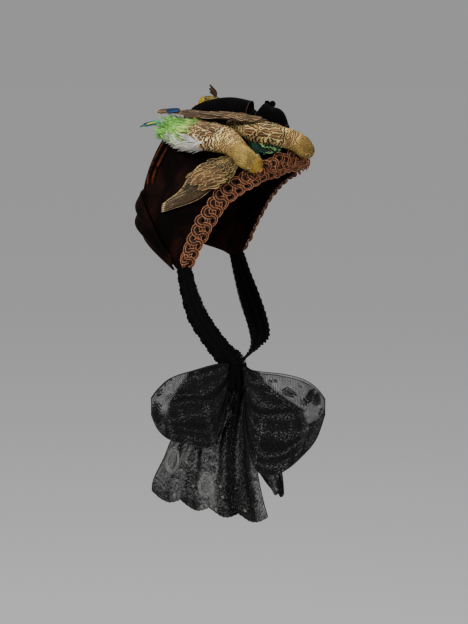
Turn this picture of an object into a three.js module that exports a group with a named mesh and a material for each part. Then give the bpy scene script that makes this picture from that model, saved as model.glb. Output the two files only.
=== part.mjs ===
// A late Victorian bonnet: a stiff dark brown velvet crown, a velvet drape over the nape, a looped braid round
// the face edge, a black velvet bow with three small birds on top, and black lace ties that meet in a bow.
// Millimetres. +X is the wearer's left, +Y the back of the head, +Z up. The origin is where the top of the
// head meets the inside of the crown.
import * as THREE from "three";

// Driving dimensions
const VELVET_WALL = 2.6; // velvet over a stiff net frame
const RIBBON_WALL = 1.4;
const LACE_WALL = 1.1;
const SEAT_GAP = 0.35; // between a piece and what it is sewn to
const PIPING_RADIUS = 1.5;
const BRAID_THICK = 2.2;
const BRAID_PITCH = 15; // from one loop of the braid to the next in the same row

const NEAR = -1; // the wearer's right, which shows in front
const FAR = 1;

// Materials
const finish = (color, roughness, metalness = 0) => new THREE.MeshStandardMaterial({ color, roughness, metalness });
const velvet = finish(0x1e0d08, 0.95);
const blackVelvet = finish(0x0c0a0a, 0.95);
const braidCord = finish(0x7a3a22, 0.7);
const lace = finish(0x101011, 0.9);
const plumage = finish(0x8a7448, 0.85);
const wingFeather = finish(0x6b5a45, 0.8);
const tailFeather = finish(0x3c7a62, 0.8);
const horn = finish(0xc07a28, 0.5);
const glassEye = finish(0x120d0a, 0.15);

const bonnet = new THREE.Group();

function addPiece(name, geometry, material, parent = bonnet) {
  const mesh = new THREE.Mesh(geometry, material);
  mesh.name = name;
  parent.add(mesh);
  return mesh;
}

const vec = (x, y, z) => new THREE.Vector3(x, y, z);
const mix = (a, b, t) => a + (b - a) * t;
const smooth = (points) => new THREE.CatmullRomCurve3(points, false, "centripetal");

// A column of a table, read between its rows along a smooth line: at 0 is the first row and at 1 the last.
function column(rows, key, at) {
  const last = rows.length - 1;
  const place = Math.min(Math.max(at, 0), 1) * last;
  const i = Math.min(Math.floor(place), last - 1);
  const t = place - i;
  const before = rows[Math.max(i - 1, 0)][key];
  const after = rows[Math.min(i + 2, last)][key];
  const [a, b] = [rows[i][key], rows[i + 1][key]];
  const [slopeA, slopeB] = [(b - before) / 2, (after - a) / 2];
  const cubic = 2 * (a - b) + slopeA + slopeB;
  const square = 3 * (b - a) - 2 * slopeA - slopeB;
  return ((cubic * t + square) * t + slopeA) * t + a;
}

// The outward normal of a surface(u, v), for u and v from 0 to 1.
function normalOf(surface, u, v) {
  const step = 0.004;
  const alongU = surface(Math.min(u + step, 1), v).sub(surface(Math.max(u - step, 0), v));
  const alongV = surface(u, Math.min(v + step, 1)).sub(surface(u, Math.max(v - step, 0)));
  return alongU.cross(alongV).normalize();
}

// A closed solid between two grids of points, outer[i][j] and inner[i][j], with its four rims filled.
function solidBetween(outer, inner) {
  const rows = outer.length;
  const columns = outer[0].length;
  const positions = [];
  const quad = (a, b, c, d) => {
    for (const p of [a, b, c, a, c, d]) positions.push(p.x, p.y, p.z);
  };
  for (let i = 0; i < rows - 1; i++) {
    for (let j = 0; j < columns - 1; j++) {
      quad(outer[i][j], outer[i + 1][j], outer[i + 1][j + 1], outer[i][j + 1]);
      quad(inner[i][j], inner[i][j + 1], inner[i + 1][j + 1], inner[i + 1][j]);
    }
  }
  for (let i = 0; i < rows - 1; i++) {
    const end = columns - 1;
    quad(outer[i][0], inner[i][0], inner[i + 1][0], outer[i + 1][0]);
    quad(outer[i][end], outer[i + 1][end], inner[i + 1][end], inner[i][end]);
  }
  for (let j = 0; j < columns - 1; j++) {
    const end = rows - 1;
    quad(outer[0][j], outer[0][j + 1], inner[0][j + 1], inner[0][j]);
    quad(outer[end][j], inner[end][j], inner[end][j + 1], outer[end][j + 1]);
  }
  return new THREE.BufferGeometry().setAttribute("position", new THREE.Float32BufferAttribute(positions, 3));
}

// A wall of cloth: surface(u, v) is its outer face, and its thickness goes inwards.
function wallOf(surface, stepsU, stepsV, thickness, lift = 0) {
  const outer = [];
  const inner = [];
  for (let i = 0; i <= stepsU; i++) {
    outer.push([]);
    inner.push([]);
    for (let j = 0; j <= stepsV; j++) {
      const [u, v] = [i / stepsU, j / stepsV];
      const out = normalOf(surface, u, v);
      const place = surface(u, v);
      outer[i].push(place.clone().addScaledVector(out, lift));
      inner[i].push(place.clone().addScaledVector(out, lift - thickness));
    }
  }
  return solidBetween(outer, inner);
}

// A closed skin over rings of points, each ring with the same count, and a flat fan at both ends.
function skinOver(rings) {
  const positions = [];
  const triangle = (a, b, c) => {
    for (const p of [a, b, c]) positions.push(p.x, p.y, p.z);
  };
  const centreOf = (ring) => ring.reduce((sum, p) => sum.add(p), vec(0, 0, 0)).divideScalar(ring.length);
  for (let i = 0; i < rings.length - 1; i++) {
    rings[i].forEach((a, j) => {
      const next = (j + 1) % rings[i].length;
      triangle(a, rings[i][next], rings[i + 1][next]);
      triangle(a, rings[i + 1][next], rings[i + 1][j]);
    });
  }
  const first = rings[0];
  const last = rings[rings.length - 1];
  const [start, end] = [centreOf(first), centreOf(last)];
  first.forEach((a, j) => triangle(start, first[(j + 1) % first.length], a));
  last.forEach((a, j) => triangle(end, a, last[(j + 1) % last.length]));
  return new THREE.BufferGeometry().setAttribute("position", new THREE.Float32BufferAttribute(positions, 3));
}

// Crown
// Five arches across the head, from the face edge to the rear edge. Each starts on the centre line at its top
// and comes down one side; the other side is its mirror image.
const CROWN_ARCHES = [
  {
    topY: -71, topZ: -26, shoulderX: 47, shoulderY: -52, shoulderZ: -34,
    sideX: 67, sideY: -20, sideZ: -56, lowX: 72.5, lowY: 3, lowZ: -92, footX: 73, footY: 19, footZ: -123,
  },
  {
    topY: -65, topZ: -8, shoulderX: 46, shoulderY: -47, shoulderZ: -14,
    sideX: 70, sideY: -5, sideZ: -45, lowX: 75, lowY: 20, lowZ: -84, footX: 74.5, footY: 27, footZ: -123,
  },
  {
    topY: -28, topZ: 2, shoulderX: 45, shoulderY: -16, shoulderZ: -9,
    sideX: 69, sideY: 16, sideZ: -43, lowX: 75, lowY: 36, lowZ: -86, footX: 74.5, footY: 30, footZ: -123,
  },
  {
    topY: 14, topZ: 6, shoulderX: 43, shoulderY: 24, shoulderZ: -6,
    sideX: 62, sideY: 47, sideZ: -43, lowX: 70, lowY: 56, lowZ: -86, footX: 74, footY: 33, footZ: -123,
  },
  {
    topY: 52, topZ: 14, shoulderX: 37, shoulderY: 60, shoulderZ: 3,
    sideX: 51, sideY: 76, sideZ: -42, lowX: 57, lowY: 75, lowZ: -84, footX: 73, footY: 36, footZ: -123,
  },
];
const ARCH_STEPS = 26;
const CROWN_ROWS = 9;
const CROWN_EDGE = 0.045; // the shell stops short of the first arch, under the braid

const archCurves = CROWN_ARCHES.map((arch) => {
  const half = [
    [arch.footX, arch.footY, arch.footZ],
    [arch.lowX, arch.lowY, arch.lowZ],
    [arch.sideX, arch.sideY, arch.sideZ],
    [arch.shoulderX, arch.shoulderY, arch.shoulderZ],
  ];
  const near = half.map(([x, y, z]) => vec(NEAR * x, y, z));
  const far = half.map(([x, y, z]) => vec(FAR * x, y, z)).reverse();
  return smooth([...near, vec(0, arch.topY, arch.topZ), ...far]);
});

// The crown's outer face. across goes from the near foot, 0, to the far foot, 1; back from the face edge, 0,
// to the rear edge, 1.
function crownFace(across, back) {
  const places = archCurves.map((curve) => curve.getPointAt(Math.min(Math.max(across, 0), 1)));
  const rows = places.map((p) => ({ x: p.x, y: p.y, z: p.z }));
  return vec(column(rows, "x", back), column(rows, "y", back), column(rows, "z", back));
}

const crownNormal = (across, back) => normalOf(crownFace, across, back);

// A point at a height above the crown's outer face.
const aboveCrown = (across, back, height) =>
  crownFace(across, back).addScaledVector(crownNormal(across, back), height);

function crown() {
  return wallOf((across, v) => crownFace(across, mix(CROWN_EDGE, 1, v)), ARCH_STEPS, CROWN_ROWS, VELVET_WALL);
}

// The rear panel closes the crown inside the horseshoe of its rear edge.
const REAR_PANEL = { top: 0.44, foot: 0.185, bulge: 4, clear: 0.5, thick: 2, rows: 7, columns: 6 };

function rearPanelFace(across, down) {
  const at = mix(REAR_PANEL.top, REAR_PANEL.foot, down);
  const edge = crownFace(at, 1);
  const backwards = edge.clone().sub(crownFace(at, 0.96)).normalize();
  edge.addScaledVector(backwards, REAR_PANEL.clear + REAR_PANEL.thick);
  const side = mix(-1, 1, across);
  const out = REAR_PANEL.bulge * (1 - side * side) * Math.sin((Math.PI * (0.12 + down)) / 1.9);
  return vec(-edge.x * side, edge.y + out, edge.z + 0.25 * out);
}

function rearPanel() {
  return wallOf(rearPanelFace, REAR_PANEL.columns, REAR_PANEL.rows, REAR_PANEL.thick);
}

// Two piped rolls lie side by side along the crown's rear edge.
const PIPING = { rows: { rear: 0.985, front: 0.925 }, from: 0.285, sides: 6, steps: 20 };

function piping(back) {
  const points = [];
  for (let i = 0; i <= PIPING.steps; i++) {
    const across = mix(PIPING.from, 1 - PIPING.from, i / PIPING.steps);
    points.push(aboveCrown(across, back, PIPING_RADIUS + SEAT_GAP));
  }
  const section = new THREE.Shape().absarc(0, 0, PIPING_RADIUS, 0, 2 * Math.PI);
  return new THREE.ExtrudeGeometry(section, {
    extrudePath: smooth(points),
    steps: PIPING.steps,
    curveSegments: PIPING.sides / 2,
    bevelEnabled: false,
  });
}

// Drape: a swag of velvet round the nape from tie to tie. Sections go from the middle of the back to the tie:
// where its top edge and its hem lie, how far it swells between them, and how deep its folds are.
const DRAPE_SECTIONS = [
  { topX: 0, topY: 92, topZ: -49, hemX: 0, hemY: 81, hemZ: -104, swell: 9.5, fold: 1.9 },
  { topX: 27, topY: 90, topZ: -50, hemX: 28, hemY: 77, hemZ: -105, swell: 10.5, fold: 1.9 },
  { topX: 54, topY: 81.5, topZ: -55, hemX: 50, hemY: 66, hemZ: -109, swell: 11, fold: 1.8 },
  { topX: 70, topY: 66, topZ: -73, hemX: 66, hemY: 54, hemZ: -115, swell: 8, fold: 1.4 },
  { topX: 78, topY: 50, topZ: -96, hemX: 75, hemY: 43.5, hemZ: -120, swell: 3.5, fold: 0.7 },
  { topX: 79, topY: 39, topZ: -110, hemX: 78.5, hemY: 37, hemZ: -124, swell: 1, fold: 0.3 },
];
const DRAPE = { folds: 3, stepsAlong: 22, stepsDown: 10, wall: 2, droop: 0.25 };

function drapeFace(along, down) {
  const side = mix(-1, 1, along);
  const from = Math.abs(side);
  const at = (key) => column(DRAPE_SECTIONS, key, from);
  const mirror = Math.sign(side) || 1;
  const place = vec(mirror * mix(at("topX"), at("hemX"), down), mix(at("topY"), at("hemY"), down), 0);
  const out = vec(place.x, Math.max(place.y, 20), 0).normalize();
  const ripple = at("fold") * Math.cos(2 * Math.PI * DRAPE.folds * (down - 0.12));
  const swell = at("swell") * 4 * down * (1 - down) + ripple * Math.sin(Math.PI * Math.min(down * 1.2, 1));
  place.z = mix(at("topZ"), at("hemZ"), down) - DRAPE.droop * at("swell") * Math.sin(Math.PI * down);
  return place.addScaledVector(out, swell);
}

function drape() {
  return wallOf(drapeFace, DRAPE.stepsAlong, DRAPE.stepsDown, DRAPE.wall);
}

// Braid: a scalloped band with a hole in every loop. It is a net of small cells, five rows deep, bent over the
// face edge. Its rows are this far from the first arch, and the cells left out are the holes.
const BRAID = { scallop: 1.7, perPitch: 4, ends: 0.004 };
const BRAID_ROWS = [0, 4.6, 8.8, 11.7, 15.9, 20.5];

const faceEdge = [];
for (let i = 0; i <= 200; i++) {
  const across = mix(BRAID.ends, 1 - BRAID.ends, i / 200);
  const length = i ? faceEdge[i - 1].length + crownFace(across, 0).distanceTo(faceEdge[i - 1].place) : 0;
  faceEdge.push({ across, place: crownFace(across, 0), length });
}
const edgeLength = faceEdge[200].length;

function edgeAcross(length) {
  const after = Math.max(faceEdge.findIndex((step) => step.length >= length - 1e-6), 1);
  const [a, b] = [faceEdge[after - 1], faceEdge[after]];
  return mix(a.across, b.across, (length - a.length) / (b.length - a.length));
}

// A point of the braid: along the face edge, at a distance back from the braid's own lower edge.
function braidPlace(along, width, height) {
  const across = edgeAcross(along);
  const reach = crownFace(across, 0.2).distanceTo(crownFace(across, 0)) / 0.2;
  return aboveCrown(across, width / reach, height);
}

function faceBraid() {
  const pitches = Math.round(edgeLength / BRAID_PITCH);
  const columns = pitches * BRAID.perPitch;
  const cellLength = edgeLength / columns;
  const isHole = (i, j) => {
    const inPitch = i % BRAID.perPitch;
    if (i < 1 || i > columns - 2) return false;
    return (j === 1 && (inPitch === 1 || inPitch === 2)) || (j === 3 && (inPitch === 0 || inPitch === 3));
  };
  const place = (i, j, height) => {
    const turn = (2 * Math.PI * i) / BRAID.perPitch;
    const wave = j === 0 ? 1 + Math.cos(turn) : j === 5 ? -1 + Math.cos(turn) : 0;
    return braidPlace(i * cellLength, BRAID_ROWS[j] + BRAID.scallop * wave, height);
  };
  const positions = [];
  const quad = (a, b, c, d) => {
    for (const p of [a, b, c, a, c, d]) positions.push(p.x, p.y, p.z);
  };
  const low = SEAT_GAP + 0.3;
  const high = low + BRAID_THICK;
  const isThere = (i, j) => i >= 0 && i < columns && j >= 0 && j < 5 && !isHole(i, j);
  for (let i = 0; i < columns; i++) {
    for (let j = 0; j < 5; j++) {
      if (!isThere(i, j)) continue;
      const corners = [[i, j], [i + 1, j], [i + 1, j + 1], [i, j + 1]];
      const neighbours = [[i, j - 1], [i + 1, j], [i, j + 1], [i - 1, j]];
      const top = corners.map(([a, b]) => place(a, b, high));
      const under = corners.map(([a, b]) => place(a, b, low));
      quad(top[0], top[1], top[2], top[3]);
      quad(under[3], under[2], under[1], under[0]);
      neighbours.forEach(([a, b], side) => {
        const next = (side + 1) % 4;
        if (!isThere(a, b)) quad(top[side], under[side], under[next], top[next]);
      });
    }
  }
  return new THREE.BufferGeometry().setAttribute("position", new THREE.Float32BufferAttribute(positions, 3));
}

// Top bow: arches of black velvet ribbon, open towards the face, with their feet between the birds. Rows go
// from the rear of each loop to its front: the ridge line, how far it leans forward, the half width and the
// height of the feet.
const REAR_LOOP = [
  { y: 47, lean: 0, x: -6, ridge: 29, half: 4, foot: 24 },
  { y: 40, lean: 0, x: -3, ridge: 35, half: 8, foot: 17 },
  { y: 24, lean: 0, x: 0, ridge: 40.5, half: 13, foot: 8 },
  { y: 5, lean: -1, x: 0, ridge: 42.5, half: 14, foot: 4.6 },
  { y: -12, lean: -4.5, x: 0, ridge: 39, half: 14, foot: 3.4 },
];
const FRONT_LOOP = [
  { y: -22, lean: -1, x: -2, ridge: 28, half: 10, foot: 3.6 },
  { y: -27, lean: -1, x: -2, ridge: 34, half: 12, foot: 3 },
  { y: -31, lean: -1, x: -2, ridge: 37, half: 12, foot: 2.5 },
  { y: -38, lean: -1, x: -3, ridge: 33, half: 11, foot: 1.5 },
];
const FRONT_FALL = [
  { y: -38.7, lean: -1, x: -5, ridge: 33.5, half: 10, foot: 11 },
  { y: -46, lean: -1, x: -6, ridge: 32, half: 10.5, foot: 12 },
  { y: -51.5, lean: -1, x: -7, ridge: 27, half: 9.5, foot: 12 },
  { y: -55.5, lean: -1, x: -7, ridge: 16, half: 8, foot: 9.5 },
];
const RIBBON_STEPS = { along: 5, round: 10 };

function ribbonArch(rows) {
  const face = (along, round) => {
    const at = (key) => column(rows, key, along);
    const turn = Math.PI * (1 - round);
    const square = (value) => Math.sign(value) * Math.abs(value) ** 0.75;
    const rise = (at("ridge") - at("foot")) * square(Math.sin(turn));
    const forward = at("lean") * Math.sin(turn);
    return vec(at("x") + at("half") * square(Math.cos(turn)), at("y") + forward, at("foot") + rise);
  };
  return wallOf(face, RIBBON_STEPS.along, RIBBON_STEPS.round, RIBBON_WALL);
}

const BOW_KNOT = { y: -16.4, z: 24, halfWidth: 12.1, halfLength: 6.4, halfHeight: 7.5 };

function bowKnot() {
  const ball = new THREE.SphereGeometry(1, 10, 6);
  ball.scale(BOW_KNOT.halfWidth, BOW_KNOT.halfLength, BOW_KNOT.halfHeight);
  return ball.translate(0, BOW_KNOT.y, BOW_KNOT.z);
}

// Birds: every row of a spine is a place on the crown, how high the middle of the body is above it, and half
// the body's width and depth there. They run from the face to the root of the tail.
const NEAR_BIRD = [
  { across: 0.33, back: 0.185, rise: 10, wide: 4.5, deep: 4 },
  { across: 0.328, back: 0.22, rise: 11, wide: 8, deep: 7.5 },
  { across: 0.326, back: 0.28, rise: 11.5, wide: 9.8, deep: 9.2 },
  { across: 0.336, back: 0.36, rise: 11.5, wide: 9.6, deep: 9 },
  { across: 0.354, back: 0.46, rise: 12, wide: 11, deep: 9.4 },
  { across: 0.371, back: 0.57, rise: 13, wide: 15, deep: 11 },
  { across: 0.38, back: 0.69, rise: 13, wide: 17, deep: 11 },
  { across: 0.388, back: 0.8, rise: 12, wide: 18, deep: 9.6 },
  { across: 0.4, back: 0.89, rise: 10, wide: 15, deep: 7.4 },
  { across: 0.408, back: 0.98, rise: 8.5, wide: 9, deep: 4.5 },
];
const MIDDLE_BIRD = [
  { across: 0.472, back: 0.166, rise: 11, wide: 5, deep: 4.5 },
  { across: 0.466, back: 0.183, rise: 12.5, wide: 8.5, deep: 8 },
  { across: 0.457, back: 0.21, rise: 13.5, wide: 9.8, deep: 9.6 },
  { across: 0.446, back: 0.247, rise: 13.5, wide: 9.8, deep: 9.5 },
  { across: 0.434, back: 0.29, rise: 13, wide: 10.5, deep: 9.8 },
  { across: 0.42, back: 0.35, rise: 14, wide: 13, deep: 11 },
  { across: 0.42, back: 0.43, rise: 14.5, wide: 13, deep: 11.5 },
  { across: 0.432, back: 0.51, rise: 14.5, wide: 10.5, deep: 10 },
  { across: 0.44, back: 0.58, rise: 14.5, wide: 7.5, deep: 8 },
  { across: 0.445, back: 0.64, rise: 14, wide: 5, deep: 5 },
];
const FAR_BIRD = [
  { across: 0.55, back: 0.975, rise: 25, wide: 4, deep: 4 },
  { across: 0.552, back: 0.94, rise: 26.5, wide: 7, deep: 7 },
  { across: 0.556, back: 0.885, rise: 27, wide: 8.5, deep: 8.5 },
  { across: 0.567, back: 0.83, rise: 23, wide: 9.5, deep: 9 },
  { across: 0.58, back: 0.77, rise: 16.5, wide: 11, deep: 10 },
  { across: 0.588, back: 0.7, rise: 11.6, wide: 13, deep: 11 },
  { across: 0.59, back: 0.63, rise: 11.4, wide: 12, deep: 10.5 },
  { across: 0.586, back: 0.57, rise: 15, wide: 9, deep: 8 },
  { across: 0.578, back: 0.52, rise: 19.5, wide: 5.5, deep: 5 },
];
const BIRD_STEPS = { along: 15, round: 10 };

const spineAt = (spine, at) => {
  const row = (key) => column(spine, key, at);
  return {
    place: aboveCrown(row("across"), row("back"), row("rise")),
    up: crownNormal(row("across"), row("back")),
    wide: row("wide"),
    deep: row("deep"),
  };
};

function spineFrame(spine, at) {
  const here = spineAt(spine, at);
  const after = spineAt(spine, Math.min(at + 0.02, 1)).place;
  const before = spineAt(spine, Math.max(at - 0.02, 0)).place;
  const forward = after.sub(before).normalize();
  const side = here.up.clone().cross(forward).normalize();
  const up = forward.clone().cross(side).normalize();
  return { ...here, forward, side, up };
}

function birdBody(spine) {
  const rings = [];
  for (let i = 0; i <= BIRD_STEPS.along; i++) {
    const { place, side, up, wide, deep } = spineFrame(spine, i / BIRD_STEPS.along);
    const ring = [];
    for (let j = 0; j < BIRD_STEPS.round; j++) {
      const turn = (2 * Math.PI * j) / BIRD_STEPS.round;
      const point = place.clone().addScaledVector(side, wide * Math.cos(turn));
      ring.push(point.addScaledVector(up, deep * Math.sin(turn)));
    }
    rings.push(ring);
  }
  return skinOver(rings);
}

// A beak hooks down from the front of the face, and an eye sits on each side of the head.
const BEAK = { length: 7, wide: 2.8, deep: 3, drop: 4.5, rings: 4, sides: 6, low: 0.5 };
const EYE = { radius: 1.9, at: 0.19, turn: 0.35, clear: -0.35 };

function birdBeak(spine) {
  const { place, forward, side, up } = spineFrame(spine, 0);
  const rings = [];
  for (let i = 0; i <= BEAK.rings; i++) {
    const t = i / BEAK.rings;
    const size = Math.max(1 - t * t, 0.12);
    const middle = place.clone().addScaledVector(forward, -SEAT_GAP - BEAK.length * t);
    middle.addScaledVector(up, -BEAK.low - BEAK.drop * t * t);
    const ring = [];
    for (let j = 0; j < BEAK.sides; j++) {
      const turn = (-2 * Math.PI * j) / BEAK.sides;
      const point = middle.clone().addScaledVector(side, BEAK.wide * size * Math.cos(turn));
      ring.push(point.addScaledVector(up, BEAK.deep * size * Math.sin(turn)));
    }
    rings.push(ring);
  }
  return skinOver(rings);
}

function birdEye(spine, flank) {
  const { place, side, up, wide, deep } = spineFrame(spine, EYE.at);
  const out = side.clone().multiplyScalar(flank * Math.cos(EYE.turn)).addScaledVector(up, Math.sin(EYE.turn));
  const reach = Math.hypot(wide * Math.cos(EYE.turn), deep * Math.sin(EYE.turn));
  const bead = new THREE.SphereGeometry(EYE.radius, 6, 4);
  const middle = place.addScaledVector(out, reach + EYE.radius + EYE.clear);
  return bead.translate(middle.x, middle.y, middle.z);
}

// Wings and tails: flat fans of feathers. A row gives the leading and the trailing edge as places on the crown
// and how high the feathers lie above it, from the shoulder to the tip.
const NEAR_WING = [
  { leadAcross: 0.305, leadBack: 0.3, trailAcross: 0.325, trailBack: 0.42, rise: 5, camber: 2 },
  { leadAcross: 0.265, leadBack: 0.24, trailAcross: 0.318, trailBack: 0.5, rise: 4.5, camber: 4 },
  { leadAcross: 0.235, leadBack: 0.23, trailAcross: 0.3, trailBack: 0.6, rise: 4.5, camber: 4 },
  { leadAcross: 0.205, leadBack: 0.27, trailAcross: 0.275, trailBack: 0.64, rise: 4, camber: 3 },
  { leadAcross: 0.182, leadBack: 0.36, trailAcross: 0.24, trailBack: 0.62, rise: 3.5, camber: 2 },
  { leadAcross: 0.17, leadBack: 0.52, trailAcross: 0.212, trailBack: 0.64, rise: 3, camber: 1.2 },
  { leadAcross: 0.162, leadBack: 0.68, trailAcross: 0.186, trailBack: 0.74, rise: 3, camber: 0.6 },
];
const MIDDLE_NEAR_WING = [
  { leadAcross: 0.398, leadBack: 0.225, trailAcross: 0.408, trailBack: 0.25, rise: 5.5, camber: 0.5 },
  { leadAcross: 0.378, leadBack: 0.27, trailAcross: 0.398, trailBack: 0.33, rise: 4.5, camber: 0.5 },
  { leadAcross: 0.368, leadBack: 0.32, trailAcross: 0.394, trailBack: 0.41, rise: 4, camber: 0.5 },
  { leadAcross: 0.372, leadBack: 0.38, trailAcross: 0.392, trailBack: 0.44, rise: 3.5, camber: 0.5 },
];
const MIDDLE_FAR_WING = [
  { leadAcross: 0.408, leadBack: 0.4, trailAcross: 0.432, trailBack: 0.4, rise: 26.4, camber: 0.5 },
  { leadAcross: 0.405, leadBack: 0.5, trailAcross: 0.436, trailBack: 0.52, rise: 25.8, camber: 1 },
  { leadAcross: 0.41, leadBack: 0.64, trailAcross: 0.442, trailBack: 0.66, rise: 26, camber: 1.5 },
  { leadAcross: 0.415, leadBack: 0.8, trailAcross: 0.445, trailBack: 0.82, rise: 23, camber: 1.5 },
  { leadAcross: 0.42, leadBack: 0.93, trailAcross: 0.446, trailBack: 0.97, rise: 20, camber: 1 },
];
const WING = { steps: 8, across: 4, thick: 1.6 };

function wing(rows) {
  const face = (along, over) => {
    const at = (key) => column(rows, key, along);
    const across = mix(at("leadAcross"), at("trailAcross"), over);
    const back = mix(at("leadBack"), at("trailBack"), over);
    const camber = at("camber") * Math.sin(Math.PI * Math.min(over * 1.25, 1));
    return aboveCrown(across, Math.min(back, 1), at("rise") + camber);
  };
  return wallOf(face, WING.steps, WING.across, WING.thick);
}

// Blades: a flat strip of feathers that leaves the crown, such as a tail. Rows give the middle line, half the
// width and the way the face looks.
const NEAR_TAIL = [
  { x: -37.4, y: 56.8, z: 13.5, half: 5.5, faceX: -0.6, faceY: -0.15, faceZ: 0.8 },
  { x: -37.8, y: 69, z: 16.5, half: 4.8, faceX: -0.65, faceY: -0.15, faceZ: 0.75 },
  { x: -37, y: 81, z: 15, half: 3, faceX: -0.7, faceY: -0.1, faceZ: 0.7 },
  { x: -36.5, y: 89, z: 12, half: 1.3, faceX: -0.7, faceY: -0.1, faceZ: 0.7 },
];
const MIDDLE_TAIL = [
  { x: -31, y: 48, z: 29, half: 4.5, faceX: -0.6, faceY: -0.1, faceZ: 0.8 },
  { x: -31, y: 58, z: 28.5, half: 5, faceX: -0.65, faceY: -0.1, faceZ: 0.76 },
  { x: -30, y: 67, z: 28, half: 4.2, faceX: -0.7, faceY: -0.1, faceZ: 0.7 },
  { x: -30, y: 74, z: 27, half: 2.2, faceX: -0.7, faceY: -0.1, faceZ: 0.7 },
];
const FAR_TAIL = [
  { x: 33.4, y: -25.1, z: 19.2, half: 4, faceX: -0.2, faceY: -0.2, faceZ: 0.95 },
  { x: 27, y: -28, z: 27, half: 5, faceX: -0.6, faceY: -0.3, faceZ: 0.7 },
  { x: 20, y: -29.5, z: 34, half: 6, faceX: -0.8, faceY: -0.2, faceZ: 0.5 },
  { x: 15, y: -30.5, z: 39, half: 4.5, faceX: -0.95, faceY: -0.2, faceZ: 0.3 },
];
const FAR_WING_RAISED = [
  { x: 24, y: 30, z: 41.4, half: 3.5, faceX: -0.9, faceY: -0.2, faceZ: 0.3 },
  { x: 23, y: 31, z: 46, half: 4, faceX: -0.95, faceY: -0.2, faceZ: 0.2 },
  { x: 21, y: 34, z: 50, half: 3, faceX: -0.95, faceY: -0.2, faceZ: 0.1 },
  { x: 20, y: 36.5, z: 54, half: 1.5, faceX: -0.95, faceY: -0.2, faceZ: 0.1 },
];
const BLADE = { steps: 7, across: 3, thick: 1.6, camber: 0.8 };

function blade(rows) {
  const middle = (at) => vec(column(rows, "x", at), column(rows, "y", at), column(rows, "z", at));
  const face = (along, over) => {
    const at = (key) => column(rows, key, along);
    const out = vec(at("faceX"), at("faceY"), at("faceZ")).normalize();
    const forward = middle(Math.min(along + 0.05, 1)).sub(middle(Math.max(along - 0.05, 0)));
    const side = out.clone().cross(forward).normalize();
    const off = mix(-1, 1, over);
    const place = middle(along).addScaledVector(side, off * at("half"));
    return place.addScaledVector(out, BLADE.camber * (1 - off * off));
  };
  return wallOf(face, BLADE.steps, BLADE.across, BLADE.thick);
}

// Ties: gathered strips of lace from under each side of the crown to the knot. A row is the middle line, half
// the width and the way the outer face looks.
const NEAR_TIE = [
  { x: -75.5, y: 26, z: -124.7, half: 7.5, faceX: -1, faceY: 0, faceZ: -0.1 },
  { x: -76, y: 21, z: -144, half: 9.5, faceX: -1, faceY: 0, faceZ: -0.15 },
  { x: -75, y: 12.5, z: -168, half: 11.5, faceX: -0.98, faceY: 0, faceZ: -0.2 },
  { x: -71, y: 1.5, z: -187, half: 11.5, faceX: -0.95, faceY: -0.1, faceZ: -0.3 },
  { x: -66, y: -10, z: -204, half: 10.5, faceX: -0.92, faceY: -0.1, faceZ: -0.35 },
  { x: -62, y: -19, z: -213.5, half: 8, faceX: -0.92, faceY: -0.1, faceZ: -0.35 },
];
const FAR_TIE = [
  { x: 75.5, y: 26, z: -124.6, half: 7.5, faceX: 1, faceY: 0, faceZ: -0.1 },
  { x: 76, y: 21, z: -144, half: 9.5, faceX: 1, faceY: 0, faceZ: -0.15 },
  { x: 73, y: 12, z: -168, half: 11.5, faceX: 0.98, faceY: 0, faceZ: -0.2 },
  { x: 63, y: 0, z: -190, half: 11.5, faceX: 0.8, faceY: -0.2, faceZ: -0.55 },
  { x: 42, y: -11, z: -206, half: 11, faceX: 0.45, faceY: -0.35, faceZ: -0.82 },
  { x: 12, y: -15, z: -214, half: 10, faceX: 0.05, faceY: -0.55, faceZ: -0.83 },
  { x: -20, y: -16, z: -218, half: 9, faceX: -0.2, faceY: -0.7, faceZ: -0.68 },
  { x: -50, y: -19.5, z: -221, half: 6, faceX: -0.35, faceY: -0.75, faceZ: -0.55 },
];
const TIE = { steps: 12, across: 9, pleats: 3, pleat: 0.9, wall: 1.3 };

function tie(rows, steps) {
  const middle = (at) => vec(column(rows, "x", at), column(rows, "y", at), column(rows, "z", at));
  const face = (along, over) => {
    const at = (key) => column(rows, key, along);
    const forward = middle(Math.min(along + 0.04, 1)).sub(middle(Math.max(along - 0.04, 0)));
    const out = vec(at("faceX"), at("faceY"), at("faceZ")).normalize();
    const side = out.clone().cross(forward).normalize();
    const place = middle(along).addScaledVector(side, mix(-1, 1, over) * at("half"));
    return place.addScaledVector(out, TIE.pleat * Math.sin(2 * Math.PI * TIE.pleats * over + 3 * along));
  };
  return wallOf(face, steps, TIE.across, TIE.wall);
}

// Chin bow. It hangs in a plane that faces the wearer's right, so a row is a place along Y, the top and the
// bottom of the loop there, and how far its two layers stand apart.
const CHIN_KNOT = { x: -61, y: -23, z: -229, halfX: 6.5, halfY: 7.5, halfZ: 13 };
const BACK_LOOP = [
  { y: -15, top: -220, low: -246, apart: 3 },
  { y: -6, top: -219, low: -285, apart: 6 },
  { y: 6, top: -221, low: -301, apart: 8 },
  { y: 24, top: -226, low: -298.5, apart: 9 },
  { y: 46, top: -234, low: -296, apart: 8 },
  { y: 60, top: -246, low: -287, apart: 5 },
  { y: 68, top: -256, low: -272, apart: 2.2 },
];
const FRONT_LOOP_LACE = [
  { y: -31, top: -220, low: -250, apart: 3 },
  { y: -37, top: -223, low: -300, apart: 6 },
  { y: -48, top: -223.5, low: -322, apart: 8 },
  { y: -70, top: -224.5, low: -321, apart: 9 },
  { y: -91, top: -228.5, low: -303, apart: 8 },
  { y: -105, top: -236, low: -285, apart: 5 },
  { y: -114, top: -246, low: -260, apart: 2.2 },
];
const LACE_LOOP = { middle: -61, steps: 7, down: 9, fold: 1.1, folds: 2.5 };

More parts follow.
